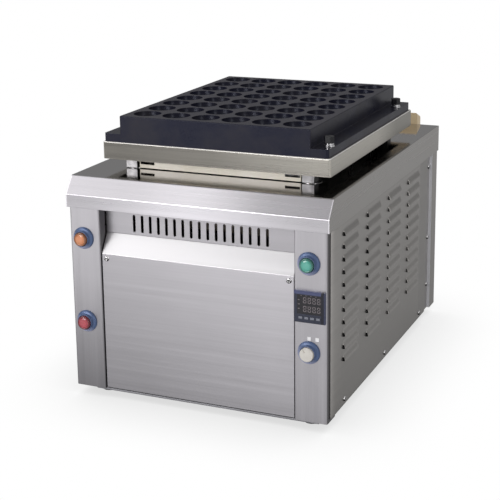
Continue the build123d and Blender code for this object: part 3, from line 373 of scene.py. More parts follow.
# ---- finishes -------------------------------------------------------------------------------
class Pattern:
    """Adds nodes to one tree."""

    def __init__(self, tree):
        self.tree = tree

    def feed(self, socket, value):
        """Sets a socket from a number, a colour or another node's output."""
        if isinstance(value, bpy.types.NodeSocket):
            self.tree.links.new(value, socket)
        elif socket.type == "RGBA" and len(value) == 3:
            socket.default_value = (*value, 1.0)
        else:
            socket.default_value = value

    def node(self, kind, *inputs, **values):
        """A node with its properties or inputs set by name, and its first inputs in order."""
        made = self.tree.nodes.new(f"ShaderNode{kind}")
        for key, value in values.items():
            if key in made.inputs:
                self.feed(made.inputs[key], value)
            else:
                setattr(made, key, value)
        for socket, value in zip(made.inputs, inputs):
            self.feed(socket, value)
        return made

    def band(self, value, low, high, out_low=0.0, out_high=1.0, smooth=False):
        """Value between low and high, brought to the range out_low to out_high."""
        return self.node("MapRange", value, low, high, out_low, out_high,
                         interpolation_type="SMOOTHSTEP" if smooth else "LINEAR").outputs[0]

    def spread(self, noise, low=0.0, high=1.0):
        """The common run of a noise, brought to the range low to high."""
        return self.band(noise, *NOISE_RUN, low, high)

    def shade(self, place, stretches, smooth=False):
        """The level that a shade has at a place."""
        return self.total(*(self.band(place, *stretch, smooth) for stretch in stretches))

    def math(self, kind, a, b=0.0):
        """One Math node."""
        return self.node("Math", a, b, operation=kind).outputs[0]

    def total(self, *values):
        """Values added up."""
        return reduce(lambda a, b: self.math("ADD", a, b), values)

    def product(self, *values):
        """Values multiplied."""
        return reduce(lambda a, b: self.math("MULTIPLY", a, b), values)

    def blend(self, kind, factor, a, b, **values):
        """One Mix node for numbers, places or colours."""
        first, out = {"FLOAT": (2, 0), "VECTOR": (4, 1), "RGBA": (6, 2)}[kind]
        made = self.node("Mix", data_type=kind, **values)
        for index, value in ((0, factor), (first, a), (first + 1, b)):
            self.feed(made.inputs[index], value)
        return made.outputs[out]

    def pick(self, factor, a, b):
        """One number mixed from two."""
        return self.blend("FLOAT", factor, a, b)

    def split(self, vector, name):
        """One component of a vector."""
        return self.node("SeparateXYZ", vector).outputs[name]

    def rays(self):
        """Which rays are reflections, and which of all rays show the plain pale background."""
        paths = self.node("LightPath").outputs
        seen = self.math("MAXIMUM", paths["Is Camera Ray"], paths["Is Transmission Ray"])
        return paths["Is Glossy Ray"], self.math("MAXIMUM", seen, paths["Is Glossy Ray"])


class Finish(Pattern):
    """A material under construction: a Principled surface and helpers for its pattern."""

    def __init__(self, name, base, metallic, roughness, edge=None):
        self.material = bpy.data.materials.new(name)
        self.material.use_nodes = True
        super().__init__(self.material.node_tree)
        self.surface = self.tree.nodes["Principled BSDF"]
        self.set("Base Color", base)
        self.set("Metallic", metallic)
        self.set("Roughness", roughness)
        self.place = self.node("TexCoord").outputs["Object"]
        self.normal = None
        if edge:
            self.normal = self.node("Bevel", edge, samples=4).outputs[0]
            self.set("Normal", self.normal)

    def set(self, name, value):
        """Sets or links an input of the surface."""
        self.feed(self.surface.inputs[name], value)

    def now(self, name):
        """What an input of the surface has: a node's output, or a plain value."""
        socket = self.surface.inputs[name]
        return socket.links[0].from_socket if socket.is_linked else tuple(socket.default_value)

    def mix(self, factor, a, b, kind="MIX"):
        """One colour mixed from two."""
        return self.blend("RGBA", factor, a, b, blend_type=kind)

    def tint(self, factor, shade, kind="MIX"):
        """Mixes a colour into the surface's own."""
        self.set("Base Color", self.mix(factor, self.now("Base Color"), shade, kind))

    def dim(self, level):
        """Multiplies the surface's colour by a level."""
        grey = self.node("CombineColor", level, level, level)
        self.tint(1.0, grey.outputs[0], "MULTIPLY")

    def noise(self, scale, detail=3.0, stretch=(1, 1, 1), rough=0.5, warp=0.0):
        """Noise in object space; stretch multiplies the frequency along each axis."""
        mapping = self.node("Mapping", Vector=self.place, Scale=stretch)
        return self.node("TexNoise", Vector=mapping.outputs[0], Scale=scale, Detail=detail,
                         Roughness=rough, Distortion=warp).outputs["Fac"]

    def cells(self, scale):
        """Small cells in object space."""
        return self.node("TexVoronoi", Vector=self.place, Scale=scale).outputs

    def axis(self, name):
        """One coordinate of the object space."""
        return self.split(self.place, name)

    def facing(self, name):
        """One component of the surface's own direction."""
        return self.split(self.node("NewGeometry").outputs["Normal"], name)

    def sideways(self):
        """One on the faces that look to either side."""
        return self.math("GREATER_THAN", self.math("ABSOLUTE", self.facing("X")), 0.7)

    def level_face(self, facing, height, below):
        """One on level faces within a little of a height."""
        return self.product(self.band(self.facing("Z"), *facing),
                            self.band(self.axis("Z"), height - below, height - 0.0004))

    def grain_round_corners(self):
        """Lets a grain along X run along Y on faces that look sideways."""
        x, y, z = self.node("SeparateXYZ", self.place).outputs
        swapped = self.node("CombineXYZ", y, x, z).outputs[0]
        self.place = self.blend("VECTOR", self.sideways(), self.place, swapped)

    def wear(self, radius):
        """A mask that is one on worn outer edges and nothing on flat faces."""
        bevel = self.node("Bevel", radius, samples=4).outputs[0]
        plain = self.node("NewGeometry").outputs["Normal"]
        dot = self.node("VectorMath", bevel, plain, operation="DOT_PRODUCT")
        return self.band(dot.outputs["Value"], 0.995, 0.86)

    def bump(self, height, strength, distance):
        """Stacks a bump on what the surface already has."""
        made = self.node("Bump", Height=height, Strength=strength, Distance=distance)
        if self.normal is not None:
            self.feed(made.inputs["Normal"], self.normal)
        self.normal = made.outputs["Normal"]
        self.set("Normal", self.normal)


def brushed(name, base, grain_axis, rough=None, streak=0.035):
    """Brushed sheet: noise drawn out along the grain, in fine and broad bands.

    Colour, roughness and bump all follow the same lines; a slow cloud shifts the tone, and sheared
    edges are a little brighter.
    """
    steel = settings("steel")
    rough = rough or steel.rough
    made = Finish(name, base, 1.0, rough, steel.edge)
    if grain_axis == "X":
        made.grain_round_corners()
    fine, wide = np.ones(3), np.ones(3)
    along = "XYZ".index(grain_axis)
    fine[along], wide[along] = 0.01, 0.006
    lines = made.noise(1.0 / steel.grain, 2.0, fine, 0.6)
    broad = made.noise(0.16 / steel.grain, 3.0, wide, 0.55)
    made.dim(made.total(made.spread(lines, -streak * 0.6, streak * 0.6),
                        made.spread(broad, -streak, streak),
                        made.spread(made.noise(7.0, 3.0), -0.02, 0.02), 1.0))
    made.tint(made.product(made.wear(steel.edge * 1.4), 0.5), scaled(base, 1.25))
    made.set("Roughness", made.total(
        made.band(broad, 0.25, 0.75, rough - 0.05, rough + 0.06),
        made.spread(lines, -0.03, 0.03)))
    made.bump(lines, 0.16, 0.00012)
    made.bump(made.noise(3.2, 2.0), 0.05, 0.004)
    return made


def cover_steel(steel):
    """The cover is one folded sheet: mirror on the deck, brushed on its sloping front and lips.

    Its sides are given painted shade, its front painted light and shade across it, and the ends of
    its front a painted highlight.
    """
    made = brushed("cover_steel", steel.front, "X", rough=0.30)
    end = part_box("top_cover")[1].x
    on_deck = made.level_face((0.9, 0.98), deck_height(), 0.0012)
    haze = made.noise(24.0, 4.0, rough=0.6)
    made.set("Roughness", made.pick(on_deck, made.now("Roughness"),
                                    made.band(haze, 0.35, 0.75, 0.03, 0.085)))
    # Painted shade: the sideways faces of the same sheet take the darker colour of the sides.
    side_shade_ratio = tuple(a / b for a, b in zip(steel.side, steel.front))
    made.tint(made.sideways(), made.mix(1.0, made.now("Base Color"), side_shade_ratio, "MULTIPLY"))
    made.tint(on_deck, steel.deck)
    ahead, across = made.facing("Y"), made.axis("X")
    # Painted light and shade across the sloping front and the lip.
    level = made.pick(made.band(ahead, -0.90, -0.95),
                      made.shade(across, COVER_SLOPE_SHADE, True),
                      made.shade(across, COVER_LIP_SHADE, True))
    # Painted highlight near both ends of the front, where it folds round to the sides.
    end_highlight = made.band(made.math("ABSOLUTE", across), end - 0.0018, end - 0.0012, 0.0, 0.55)
    made.dim(made.pick(made.band(ahead, -0.4, -0.5), 1.0, made.total(level, end_highlight)))
    return made


def column_steel(steel):
    """Upright brushed sheet of the front columns, with painted light and shade up them and painted
    shade on their flanks.
    """
    made = brushed("column_steel", steel.front, "Z")
    up = made.axis("Z")
    # Painted light and shade up each column.
    made.dim(made.pick(made.math("GREATER_THAN", made.axis("X"), 0.0),
                       made.shade(up, LEFT_COLUMN_SHADE), made.shade(up, RIGHT_COLUMN_SHADE)))
    # Painted shade on the flanks.
    made.dim(made.band(made.math("ABSOLUTE", made.facing("X")), 0.6, 0.9, 1.0, 0.35))
    return made


def front_steel(steel):
    """Level brushed sheet of the front cover, with a painted highlight on its sloping head and
    painted light and shade across its front.
    """
    made = brushed("front_steel", steel.front, "X")
    slope = made.band(made.facing("Z"), 0.35, 0.6)
    made.tint(slope, steel.slope)
    # Painted light and shade across the front cover's level faces.
    made.dim(made.pick(slope, made.shade(made.axis("X"), FRONT_SHADE), 1.0))
    return made


def post_steel(steel):
    """Upright brushed sheet of the rear posts, with a painted highlight on their front folds, which
    are also less metallic.
    """
    made = brushed("post_steel", steel.side, "Z")
    # Painted highlight on the front folds, which are also made less metallic.
    fold = made.band(made.facing("Y"), -0.8, -0.95)
    made.tint(fold, steel.fold)
    made.set("Metallic", made.pick(fold, 1.0, 0.25))
    return made


def tray_steel(steel):
    """Satin frame of the plate: painted shade along its front and its right side, and a painted
    highlight on its crest.
    """
    made = brushed("tray_steel", steel.tray, "X", rough=0.30, streak=0.07)
    # Painted shade across the front faces.
    level = made.shade(made.axis("X"), TRAY_FRONT_SHADE)
    grey = made.node("CombineColor", level, level, level).outputs[0]
    made.tint(made.band(made.facing("Y"), -0.9, -0.97),
              made.mix(1.0, made.now("Base Color"), grey, "MULTIPLY"))
    # Painted shade on the faces that look to the right.
    made.dim(made.pick(made.band(made.facing("X"), 0.8, 0.95), 1.0,
                       made.shade(made.axis("X"), TRAY_SIDE_SHADE)))
    # Painted highlight on the rounded crest, which is also made less metallic.
    crest = made.product(made.band(made.facing("Z"), 0.25, 0.5),
                         made.band(made.facing("Z"), 0.97, 0.90))
    made.tint(crest, steel.crest)
    made.set("Metallic", made.band(crest, 0.0, 1.0, 1.0, 0.3))
    return made


def heat_tinted(steel):
    """Flue steel under a dull heat tint: straw at its foot, warmer towards the hot rim."""
    made = brushed("heat_tinted_steel", steel.flue, "X", rough=0.36)
    low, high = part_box("exhaust_flue")
    cloud = made.spread(made.noise(22.0, 4.0, warp=0.8), -0.3, 0.3)
    ramp = made.node("ValToRGB", made.total(made.band(made.axis("Z"), low.z, high.z), cloud))
    stops = ramp.color_ramp.elements
    stops.new(0.6)
    for stop, tone in zip(stops, (steel.tint_foot, steel.tint_middle, steel.tint_rim)):
        stop.color = (*tone, 1)
    made.tint(0.75, ramp.outputs[0])
    made.set("Metallic", 0.0)
    return made


def cast_iron(plate):
    """Seasoned iron: blue black film, pitted skin, rubbed edges and a paler, worn top land."""
    made = Finish("seasoned_iron", plate.iron, 0.0, 0.36, 0.0007)
    patch = made.noise(18.0, 5.0, rough=0.62, warp=0.4)
    skin = made.noise(950.0, 4.0, rough=0.6)
    rub = made.noise(85.0, 5.0, (1.0, 0.35, 1.0), 0.65)
    made.tint(made.band(patch, 0.42, 0.72), plate.seasoning)
    made.tint(made.product(made.wear(0.0011), made.band(skin, 0.35, 0.6, 0.15, 0.6)), plate.rubbed)
    land = made.level_face((0.9, 0.99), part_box("cooking_plate")[1].z, 0.0009)
    made.tint(made.product(land, made.band(rub, 0.25, 0.7, 0.55, 1.0)), plate.land)
    made.set("Roughness", made.total(
        made.pick(land, made.spread(patch, 0.26, 0.36),
                  made.spread(rub, 0.40, 0.52)),
        made.spread(skin, -0.04, 0.05)))
    made.bump(skin, 0.22, 0.00014)
    made.bump(made.noise(2600.0, 2.0), 0.18, 0.00006)
    made.set("Specular IOR Level", 0.27)
    made.set("Specular Tint", (0.80, 0.84, 1.0))
    return made


def enamel(name, base):
    """Stoved enamel: slow orange peel, a few grey specks and warm haze near the fire."""
    made = Finish(name, base, 0.0, 0.28, 0.0008)
    cloud = made.noise(9.0, 4.0, rough=0.6)
    haze = tuple(c * k for c, k in zip(base, (0.95, 0.92, 0.84)))
    made.tint(made.band(cloud, 0.35, 0.75), haze)
    specks = made.band(made.noise(620.0, 2.0), 0.74, 0.78)
    made.tint(made.product(specks, 0.5), settings("plate").speck)
    made.set("Roughness", made.spread(cloud, 0.22, 0.34))
    made.bump(made.noise(160.0, 2.0), 0.12, 0.0004)
    return made


def skirt_enamel(plate):
    """Cream enamel on the ends of the skirt; its sides are painted near black as shade."""
    made = enamel("cream_enamel", plate.enamel)
    # A little noise in the painted shade of the sides.
    side_shade_mottle = made.spread(made.noise(30.0, 4.0))
    made.tint(made.band(made.math("ABSOLUTE", made.facing("X")), 0.4, 0.75),
              made.mix(side_shade_mottle, plate.skirt_side_shade, scaled(plate.skirt_side_shade, 1.8)))
    return made


def bright_steel(name, base, rough=0.2, marks_scale=1400.0):
    """Turned or plated steel: fine rings of tool marks and slight dulling."""
    made = Finish(name, base, 1.0, rough, 0.0004)
    marks = made.noise(marks_scale, 2.0, (0.25, 0.25, 1.0))
    dull = made.noise(60.0, 4.0)
    made.set("Base Color", made.mix(made.band(dull, 0.35, 0.75), base, scaled(base, 0.82)))
    made.set("Roughness", made.total(made.spread(dull, rough * 0.7, rough * 1.5),
                                     made.spread(marks, -0.03, 0.05)))
    made.bump(marks, 0.12, 0.00006)
    return made


def painted(name, base, rough=0.5, peel=420.0):
    """Fine-textured paint or powder coat with a dusty cloud and paler rubbed edges."""
    made = Finish(name, base, 0.0, rough, 0.0006)
    grain = made.noise(peel, 3.0)
    made.tint(made.band(made.noise(14.0, 5.0, rough=0.6), 0.4, 0.8), scaled(base, 1.35, 0.01))
    made.tint(made.product(made.wear(0.0009), 0.35), scaled(base, 2.0, 0.06))
    made.set("Roughness", made.spread(grain, rough - 0.06, rough + 0.08))
    made.bump(grain, 0.2, 0.00012)
    return made


def moulded(name, base, rough=0.35, spark=1500.0):
    """Moulded plastic with a fine spark-eroded grain and slight handling gloss."""
    made = Finish(name, base, 0.0, rough, 0.0004)
    grain, touch = made.noise(spark, 2.0), made.noise(45.0, 3.0)
    made.tint(made.band(touch, 0.3, 0.8), scaled(base, 1.12, 0.002))
    made.set("Roughness", made.total(made.spread(touch, rough - 0.06, rough + 0.05),
                                     made.spread(grain, -0.02, 0.03)))
    made.bump(grain, 0.15, 0.00006)
    return made


def zinc(name, base):
    """Zinc plate: small bright and dull spangles under a grey film."""
    made = Finish(name, base, 1.0, 0.42, 0.0006)
    tone = made.node("SeparateColor", made.cells(160.0)["Color"]).outputs["Red"]
    made.tint(made.band(tone, 0.0, 1.0), scaled(base, 0.78))
    made.set("Roughness", made.band(tone, 0.0, 1.0, 0.34, 0.52))
    made.bump(made.noise(500.0, 3.0), 0.1, 0.0001)
    return made


def lens(name, base, centre, radius):
    """Tinted lens: paler in the middle, deep at the rim, under a clear coat, with fine prisms."""
    made = Finish(name, base, 0.0, 0.22)
    away = made.node("Mapping", Vector=made.place, Location=-centre).outputs[0]
    flat = made.node("VectorMath", away, (1, 0, 1), operation="MULTIPLY").outputs[0]
    span = made.node("VectorMath", flat, operation="LENGTH").outputs["Value"]
    inner = made.mix(made.band(span, radius * 0.25, radius * 0.72, smooth=True),
                     scaled(base, 1.12, 0.025), base)
    made.set("Base Color", made.mix(made.band(span, radius * 0.74, radius * 0.80), inner,
                                    scaled(base, 0.42)))
    made.bump(made.cells(1100.0)["Distance"], 0.10, 0.0001)
    made.set("Coat Weight", 0.6)
    made.set("Coat Roughness", 0.06)
    made.set("Subsurface Weight", 0.12)
    made.set("Subsurface Radius", (0.004, 0.002, 0.001))
    return made


def bezel_blue(control):
    """Blue grey bezels, with a painted reflection that makes them paler where they look down and to
    the left.
    """
    made = Finish("bezel_blue", control.bezel, 0.25, 0.40, 0.0003)
    made.tint(made.spread(made.noise(70.0, 3.0)), scaled(control.bezel, 1.3))
    # Painted reflection: faces that look down and to the left take the pale colour.
    normal = made.node("NewGeometry").outputs["Normal"]
    under = made.node("VectorMath", normal, (-0.62, 0.0, -0.78), operation="DOT_PRODUCT")
    made.tint(made.band(under.outputs["Value"], -0.05, 0.35), control.pale)
    made.set("Roughness", made.spread(made.noise(900.0, 2.0), 0.27, 0.4))
    return made


def controller_navy(control):
    """Navy controller bezel, with a painted highlight along its top, and painted shade and a painted
    highlight in two lines down its right side.
    """
    made = moulded("controller_navy", control.case, 0.34)
    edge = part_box("controller_case")[1]
    # Painted highlight along the top, painted shade and a painted highlight down the right side.
    made.tint(made.band(made.axis("Z"), edge.z - 0.0046, edge.z - 0.0040), control.case_top_highlight)
    made.tint(made.band(made.axis("X"), edge.x - 0.0062, edge.x - 0.0056), control.case_side_shade)
    made.tint(made.band(made.axis("X"), edge.x - 0.0017, edge.x - 0.0013), control.case_rim_highlight)
    return made


def smoked_pane(control):
    """Smoked display pane with faint smears."""
    made = Finish("smoked_pane", control.pane, 0.0, 0.12)
    smear = made.noise(120.0, 3.0)
    made.tint(smear, control.smear)
    made.set("Roughness", made.spread(smear, 0.08, 0.2))
    return made


def display_segment_glow(control):
    """Pale segments of the display, with a faint painted glow."""
    made = Finish("display_figures", control.digit, 0.0, 0.4)
    made.tint(made.noise(300.0, 2.0), scaled(control.digit, 0.8))
    # Painted glow: a weak emission in the segments' own colour.
    made.set("Emission Color", control.digit)
    made.set("Emission Strength", 0.05)
    return made


def louvre_mouth(form):
    """Painted shade inside the louvres: near black, less dark towards the back."""
    made = painted("louvre_mouth", form.near, 0.9)
    made.set("Specular IOR Level", 0.1)
    made.set("Base Color", made.mix(made.band(made.axis("Y"), -0.15, 0.15), form.near, form.far))
    return made


def dress(finish, *names):
    """Gives CAD nodes a finish."""
    for name in names:
        mesh = NODES[name].data
        mesh.materials.clear()
        mesh.materials.append(finish.material)


# ---- operators ------------------------------------------------------------------------------
class TAKO_OT_case_sheets(bpy.types.Operator):
    """Brushed, polished and folded sheets of the case"""

    bl_idname = "tako.case_sheets"
    bl_label = "Case sheets"

    def execute(self, context):
        steel = settings("steel")
        dress(cover_steel(steel), "top_cover")
        dress(column_steel(steel), "front_column_left", "front_column_right")
        dress(front_steel(steel), "front_cover")
        dress(brushed("vent_steel", scaled(steel.front, 0.83), "X", rough=0.38), "vent_panel")
        dress(post_steel(steel), "rear_post_left", "rear_post_right", "rear_panel")
        dress(painted("plinth_paint", steel.plinth, 0.55), "base_plate")
        dress(moulded("foot_rubber", steel.rubber, 0.6, 700.0), "rubber_feet")
        dress(heat_tinted(steel), "exhaust_flue")
        return {"FINISHED"}


def louvre_height(s, t, form):
    """Height of a louvre's skin over the panel.

    height = bulge * (1 + cos(pi * t / tall)) / 2 * (1 - end ** 4) ** (1 / 2), where t is measured up
    from the cut edge and end runs from 0 to 1 along the sloping ends.
    """
    end = np.clip((np.abs(s) - (form.long / 2 - form.ramp)) / form.ramp, 0, 1)
    up = np.clip(t / form.tall, 0, 1)
    inside = (t >= 0) & (np.abs(s) <= form.long / 2)
    skin = 0.5 * (1 + np.cos(math.pi * up)) * np.sqrt(1 - end ** 4)
    return np.where(inside, form.bulge * skin, 0.0)


def louvred_panel(name, side, face, form):
    """A sheet on a grid of y and z lines, lifted by each louvre.

    Returns its shape, and which of its faces are given painted shade: the louvres' mouths and
    open ends.
    """
    low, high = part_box(name)
    half, lip = form.long / 2, 5e-5
    # Grid lines along a louvre's sloping ends, beside it, and up its height.
    ends = np.array([0.0, 0.0005, 0.0012, 0.0022, 0.0034, 0.005, 0.0075, 0.012])
    across = np.concatenate([-half + ends, [0.0], half - ends])
    margin = np.array([-half - 0.0035, -half - 0.0012, half + 0.0012, half + 0.0035])
    upward = np.array([-0.004, -lip, 0.0, 0.0012, 0.0026, 0.0042, 0.006, 0.0078, 0.0094,
                       0.0108, 0.0118, 0.0123, form.tall, 0.0138])
    middles = low.y + form.first + half + np.arange(form.columns) * form.pitch_y
    feet = high.z - form.top - np.arange(form.rows) * form.pitch_z
    ys = np.unique(np.concatenate(
        [[low.y, high.y]] + [m + np.concatenate([across, margin]) for m in middles]))
    zs = np.unique(np.concatenate([[low.z, high.z, low.z + 0.004]] + [f + upward for f in feet]))
    grid_y, grid_z = np.meshgrid(ys, zs)
    lift = sum(louvre_height(grid_y - m, grid_z - f, form) for m in middles for f in feet)
    points = np.stack([side * (face + lift), grid_y, grid_z], -1).reshape(-1, 3)
    faces = grid_faces(len(zs), len(ys))
    centre_y, centre_z = (0.25 * grid.reshape(-1)[faces].sum(1) for grid in (grid_y, grid_z))
    # Painted shade: the step under each louvre's cut edge, and a strip up each of its ends, wider in
    # the front columns, take the dark mouth colour.
    dark = np.zeros(len(faces), bool)
    for place, m in enumerate(middles):
        away = np.abs(centre_y - m)
        slit = 0.0012 if place < form.columns / 2 else 0.0005
        for f in feet:
            rise = centre_z - f
            dark |= (away < half) & (rise < 0) & (rise > -lip)
            dark |= (away < half) & (away > half - slit) & (rise > 0) & (rise < form.open_end)
    return (points, faces[:, ::side]), dark


class TAKO_OT_side_panels(bpy.types.Operator):
    """Pressed side panels with their louvres"""

    bl_idname = "tako.side_panels"
    bl_label = "Side panels"

    def execute(self, context):
        form = settings("louvre")
        finish = brushed("side_steel", settings("steel").side, "Y", rough=0.36, streak=0.04)
        # Painted highlight: faces that look upwards, such as the tops of the louvres, are made up to
        # 22 percent brighter.
        finish.dim(finish.band(finish.facing("Z"), 0.1, 0.5, 1.0, 1.22))
        # Painted shade for the mouths and open ends of the louvres.
        mouth = louvre_mouth(form)
        for side, name in ((-1, "side_panel_left"), (1, "side_panel_right")):
            low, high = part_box(name)
            face = max(-low.x, high.x) - PANEL_INSET
            shape, dark = louvred_panel(name, side, face, form)
            piece = new_piece(f"louvred_{name}", shape, "case", finish, name,
                              closed=False)
            piece.data.materials.append(mouth.material)
            piece.data.polygons.foreach_set("material_index", dark.astype(np.int32))
            piece.data.set_sharp_from_angle(angle=math.radians(50))
            wall = piece.modifiers.new("Sheet", "SOLIDIFY")
            wall.thickness, wall.offset = form.sheet, -1.0
            inner = face - form.sheet
            foot = cuboid((side * (inner - FOOT_FOLD), low.y + FOOT_START, low.z),
                          (side * inner, high.y - FOOT_STOP, low.z + form.sheet))
            back = cuboid((side * (inner - BACK_FOLD), high.y - form.sheet, low.z),
                          (side * inner, high.y, high.z))
            new_piece(f"folds_{name}", joined([foot, back]), "case", finish,
                      smooth=False)
        return {"FINISHED"}


class TAKO_OT_carriage(bpy.types.Operator):
    """Cast plate, carrier frame, enamelled skirt and corner posts"""

    bl_idname = "tako.carriage"
    bl_label = "Plate and carriage"

    def execute(self, context):
        plate = settings("plate")
        dress(cast_iron(plate), "cooking_plate")
        dress(tray_steel(settings("steel")), "carrier_tray")
        dress(skirt_enamel(plate), "heat_skirt")
        dress(bright_steel("post_bright", scaled(plate.bright, 0.33), 0.34, 500.0),
              "support_posts")
        dress(bright_steel("bearing_bronze", plate.bronze, 0.3), "post_bushes")
        dress(bright_steel("turned_steel", plate.bright, 0.18), "plate_washers",
              "temperature_probe", "drive_crank", "idler_crank_front_left",
              "idler_crank_front_right", "idler_crank_rear_left", "shaft_coupling",
              "output_shaft")
        return {"FINISHED"}


def solid_places(name):
    """Lowest and highest corners of each separate solid of a node, found by joining loose faces."""
    shell = bmesh.new()
    shell.from_mesh(NODES[name].data)
    bmesh.ops.remove_doubles(shell, verts=shell.verts, dist=WELD)
    seen, boxes = set(), []
    for start in shell.verts:
        if start in seen:
            continue
        seen.add(start)
        queue, group = [start], []
        while queue:
            vert = queue.pop()
            group.append(vert.co.copy())
            fresh = {edge.other_vert(vert) for edge in vert.link_edges} - seen
            seen |= fresh
            queue += fresh
        boxes.append((np.min(group, 0), np.max(group, 0)))
    shell.free()
    return boxes


def screw_head(centre, axis):
    """A pan head with a cross recess.

    height(r) = height * (1 - (r / radius) ** 4) ** (1 / 2), less a cross that is deep in the middle.
    """
    rings, segments = 12, 32
    arm, reach, depth = 0.13, 0.55, 0.55  # the cross, as shares of the radius and the height
    side, other, axis = square_to(axis)
    r, a = np.meshgrid(np.linspace(0, 1, rings + 1)[1:] ** 0.8,
                       np.arange(segments) * 2 * math.pi / segments, indexing="ij")
    x, y = r * np.cos(a), r * np.sin(a)
    z = SCREW_HEIGHT * (0.85 * np.sqrt(np.clip(1 - r ** 4, 0, 1)) + 0.15 * (r < 1))
    cross = (np.minimum(np.abs(x), np.abs(y)) < arm) & (r < reach)
    z -= np.where(cross, SCREW_HEIGHT * depth * (1 - r / 0.6), 0)
    z[-1] = 0.0
    points = (centre + SCREW_RADIUS * (x[..., None] * side + y[..., None] * other)
              + z[..., None] * axis).reshape(-1, 3)
    last = len(points) - segments
    faces = [*grid_faces(rings, segments, closed=True),
             *fan(len(points), 0, segments, False), *fan(len(points) + 1, last, segments, True)]
    return np.vstack([points, centre + axis * SCREW_HEIGHT * 0.4, centre - axis * 0.0002]), faces


def hex_head(low, high):
    """A hexagon head, its top corners turned off.

    wall(a) = flat / cos(a folded to 30 degrees); the top drops where the wall passes the flats.
    """
    centre, wide = (low + high) / 2, high - low
    flat, tall = min(wide[:2]) / 2, wide[2]
    a = np.arange(72) * 2 * math.pi / 72
    folded = (a + (math.pi / 6 if wide[0] < wide[1] else 0)) % (math.pi / 3)
    wall = flat / np.cos(np.abs(folded - math.pi / 6))
    one = np.ones_like(a)
    reach = np.stack([wall * 0.2, wall, wall, flat * 0.93 * one, flat * 0.45 * one,
                      flat * 0.38 * one])
    rise = np.stack([0 * one, 0 * one, tall - (wall - flat) * 0.6, tall * one, tall * one,
                     tall * 0.93 * one])
    points = np.stack([centre[0] + reach * np.cos(a), centre[1] + reach * np.sin(a),
                       low[2] + rise], -1).reshape(-1, 3)
    faces = [*grid_faces(len(reach), len(a), closed=True), *fan(len(points), 0, len(a), True),
             *fan(len(points) + 1, len(points) - len(a), len(a), False)]
    poles = [[centre[0], centre[1], low[2]], [centre[0], centre[1], low[2] + tall * 0.93]]
    return np.vstack([points, poles]), faces


class TAKO_OT_fasteners(bpy.types.Operator):
    """Pan-head screws of the case and hexagon bolts of the plate"""

    bl_idname = "tako.fasteners"
    bl_label = "Screws and bolts"

    def execute(self, context):
        plate = settings("plate")
        bright = bright_steel("screw_steel", plate.screw, 0.22, 900.0)
        # Painted shade: the heads are darker the further they look down, to 6 percent of their
        # colour.
        bright.dim(bright.band(bright.facing("Z"), -0.12, 0.28, 0.06, 1.0))
        for name in ("front_cover_screws", "side_screws", "groove_screws"):
            heads = []
            for low, high in solid_places(name):
                seat = (low + high) / 2
                if name == "front_cover_screws":
                    axis = np.array((0, -1, 0))
                    seat[1] = low[1] + SCREW_HEIGHT
                else:
                    axis = np.array((1 if seat[0] > 0 else -1, 0, 0))
                    seat[0] = (high if seat[0] > 0 else low)[0] - axis[0] * SCREW_HEIGHT
                heads.append(screw_head(seat, axis))
            new_piece(f"heads_{name}", joined(heads), "case", bright, name,
                      closed=False)
        bolts = []
        for low, high in solid_places("plate_bolts"):
            head_foot = high[2] - BOLT_HEAD
            bolts.append(hex_head(np.array([low[0], low[1], head_foot]), high))
            shank = [(0, low[2]), (SHANK_RADIUS, low[2]), (SHANK_RADIUS, head_foot + 0.001),
                     (0, head_foot + 0.001)]
            middle = (low + high) / 2
            bolts.append(turned(shank, (middle[0], middle[1], 0), (0, 0, 1), 20))
        new_piece("plate_hexagons", joined(bolts), "plate_carriage",
                  painted("blacked_bolt", plate.bolt, 0.34, 900.0), "plate_bolts",
                  smooth=False)
        return {"FINISHED"}


def control_centre(name):
    """Middle of a control seen from the front, on its front face."""
    low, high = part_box(name)
    return Vector(((low.x + high.x) / 2, low.y, (low.z + high.z) / 2))


def bezel_profile(rim, lip):
    """Radius and distance ahead of the column: barrel, flange out to the rim, collar to the lip."""
    bore, foot = 0.0106, -0.0158
    barrel = [(bore, foot), (0.0109, foot), (0.0109, 0.0)]
    flange = [(rim - 0.00015, 0.0), (rim, 0.0004), (rim - 0.0001, 0.0012),
              (rim - 0.0013, 0.0032), (rim - 0.0019, 0.0036)]
    collar = [(0.0123, 0.0037), (0.01195, 0.0041), (0.0119, lip - 0.0006),
              (0.0117, lip - 0.0001), (0.0113, lip), (0.0109, lip - 0.0002),
              (0.0107, lip - 0.0008), (bore, foot)]
    return barrel + flange + collar


def cap_profile(radius, deep):
    """Radius and distance behind the face: stem, skirt, and a lens with a ridge near its rim."""
    stem = [(0, deep), (0.005, deep), (0.005, 0.0142)]
    skirt = [(0.0098, 0.0142), (0.0101, 0.0138), (radius, 0.0118), (radius, 0.0016)]
    ridge = [(0.0100, 0.0007), (0.0096, 0.0002), (0.0091, 0.0), (0.0082, 0.0),
             (0.0079, 0.0002), (0.0077, 0.0006)]
    dome = [(0.0074, 0.0006), (0.0070, 0.0003), (0.0050, 0.00012), (0.0025, 0.00003), (0, 0.0)]
    return stem + skirt + ridge + dome


class TAKO_OT_bezels(bpy.types.Operator):
    """Turned bezels and collars round the four controls"""

    bl_idname = "tako.bezels"
    bl_label = "Bezels"

    def execute(self, context):
        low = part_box("control_bezels")[0]
        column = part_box("front_column_left")[0].y
        profile = bezel_profile(control_centre("orange_button").x - low.x, column - low.y)
        middles = [control_centre(name) for name in CONTROLS]
        rings = [turned(profile, (m.x, column, m.z), (0, -1, 0), 64) for m in middles]
        new_piece("turned_bezels", joined(rings), "case", bezel_blue(settings("control")),
                  "control_bezels")
        return {"FINISHED"}


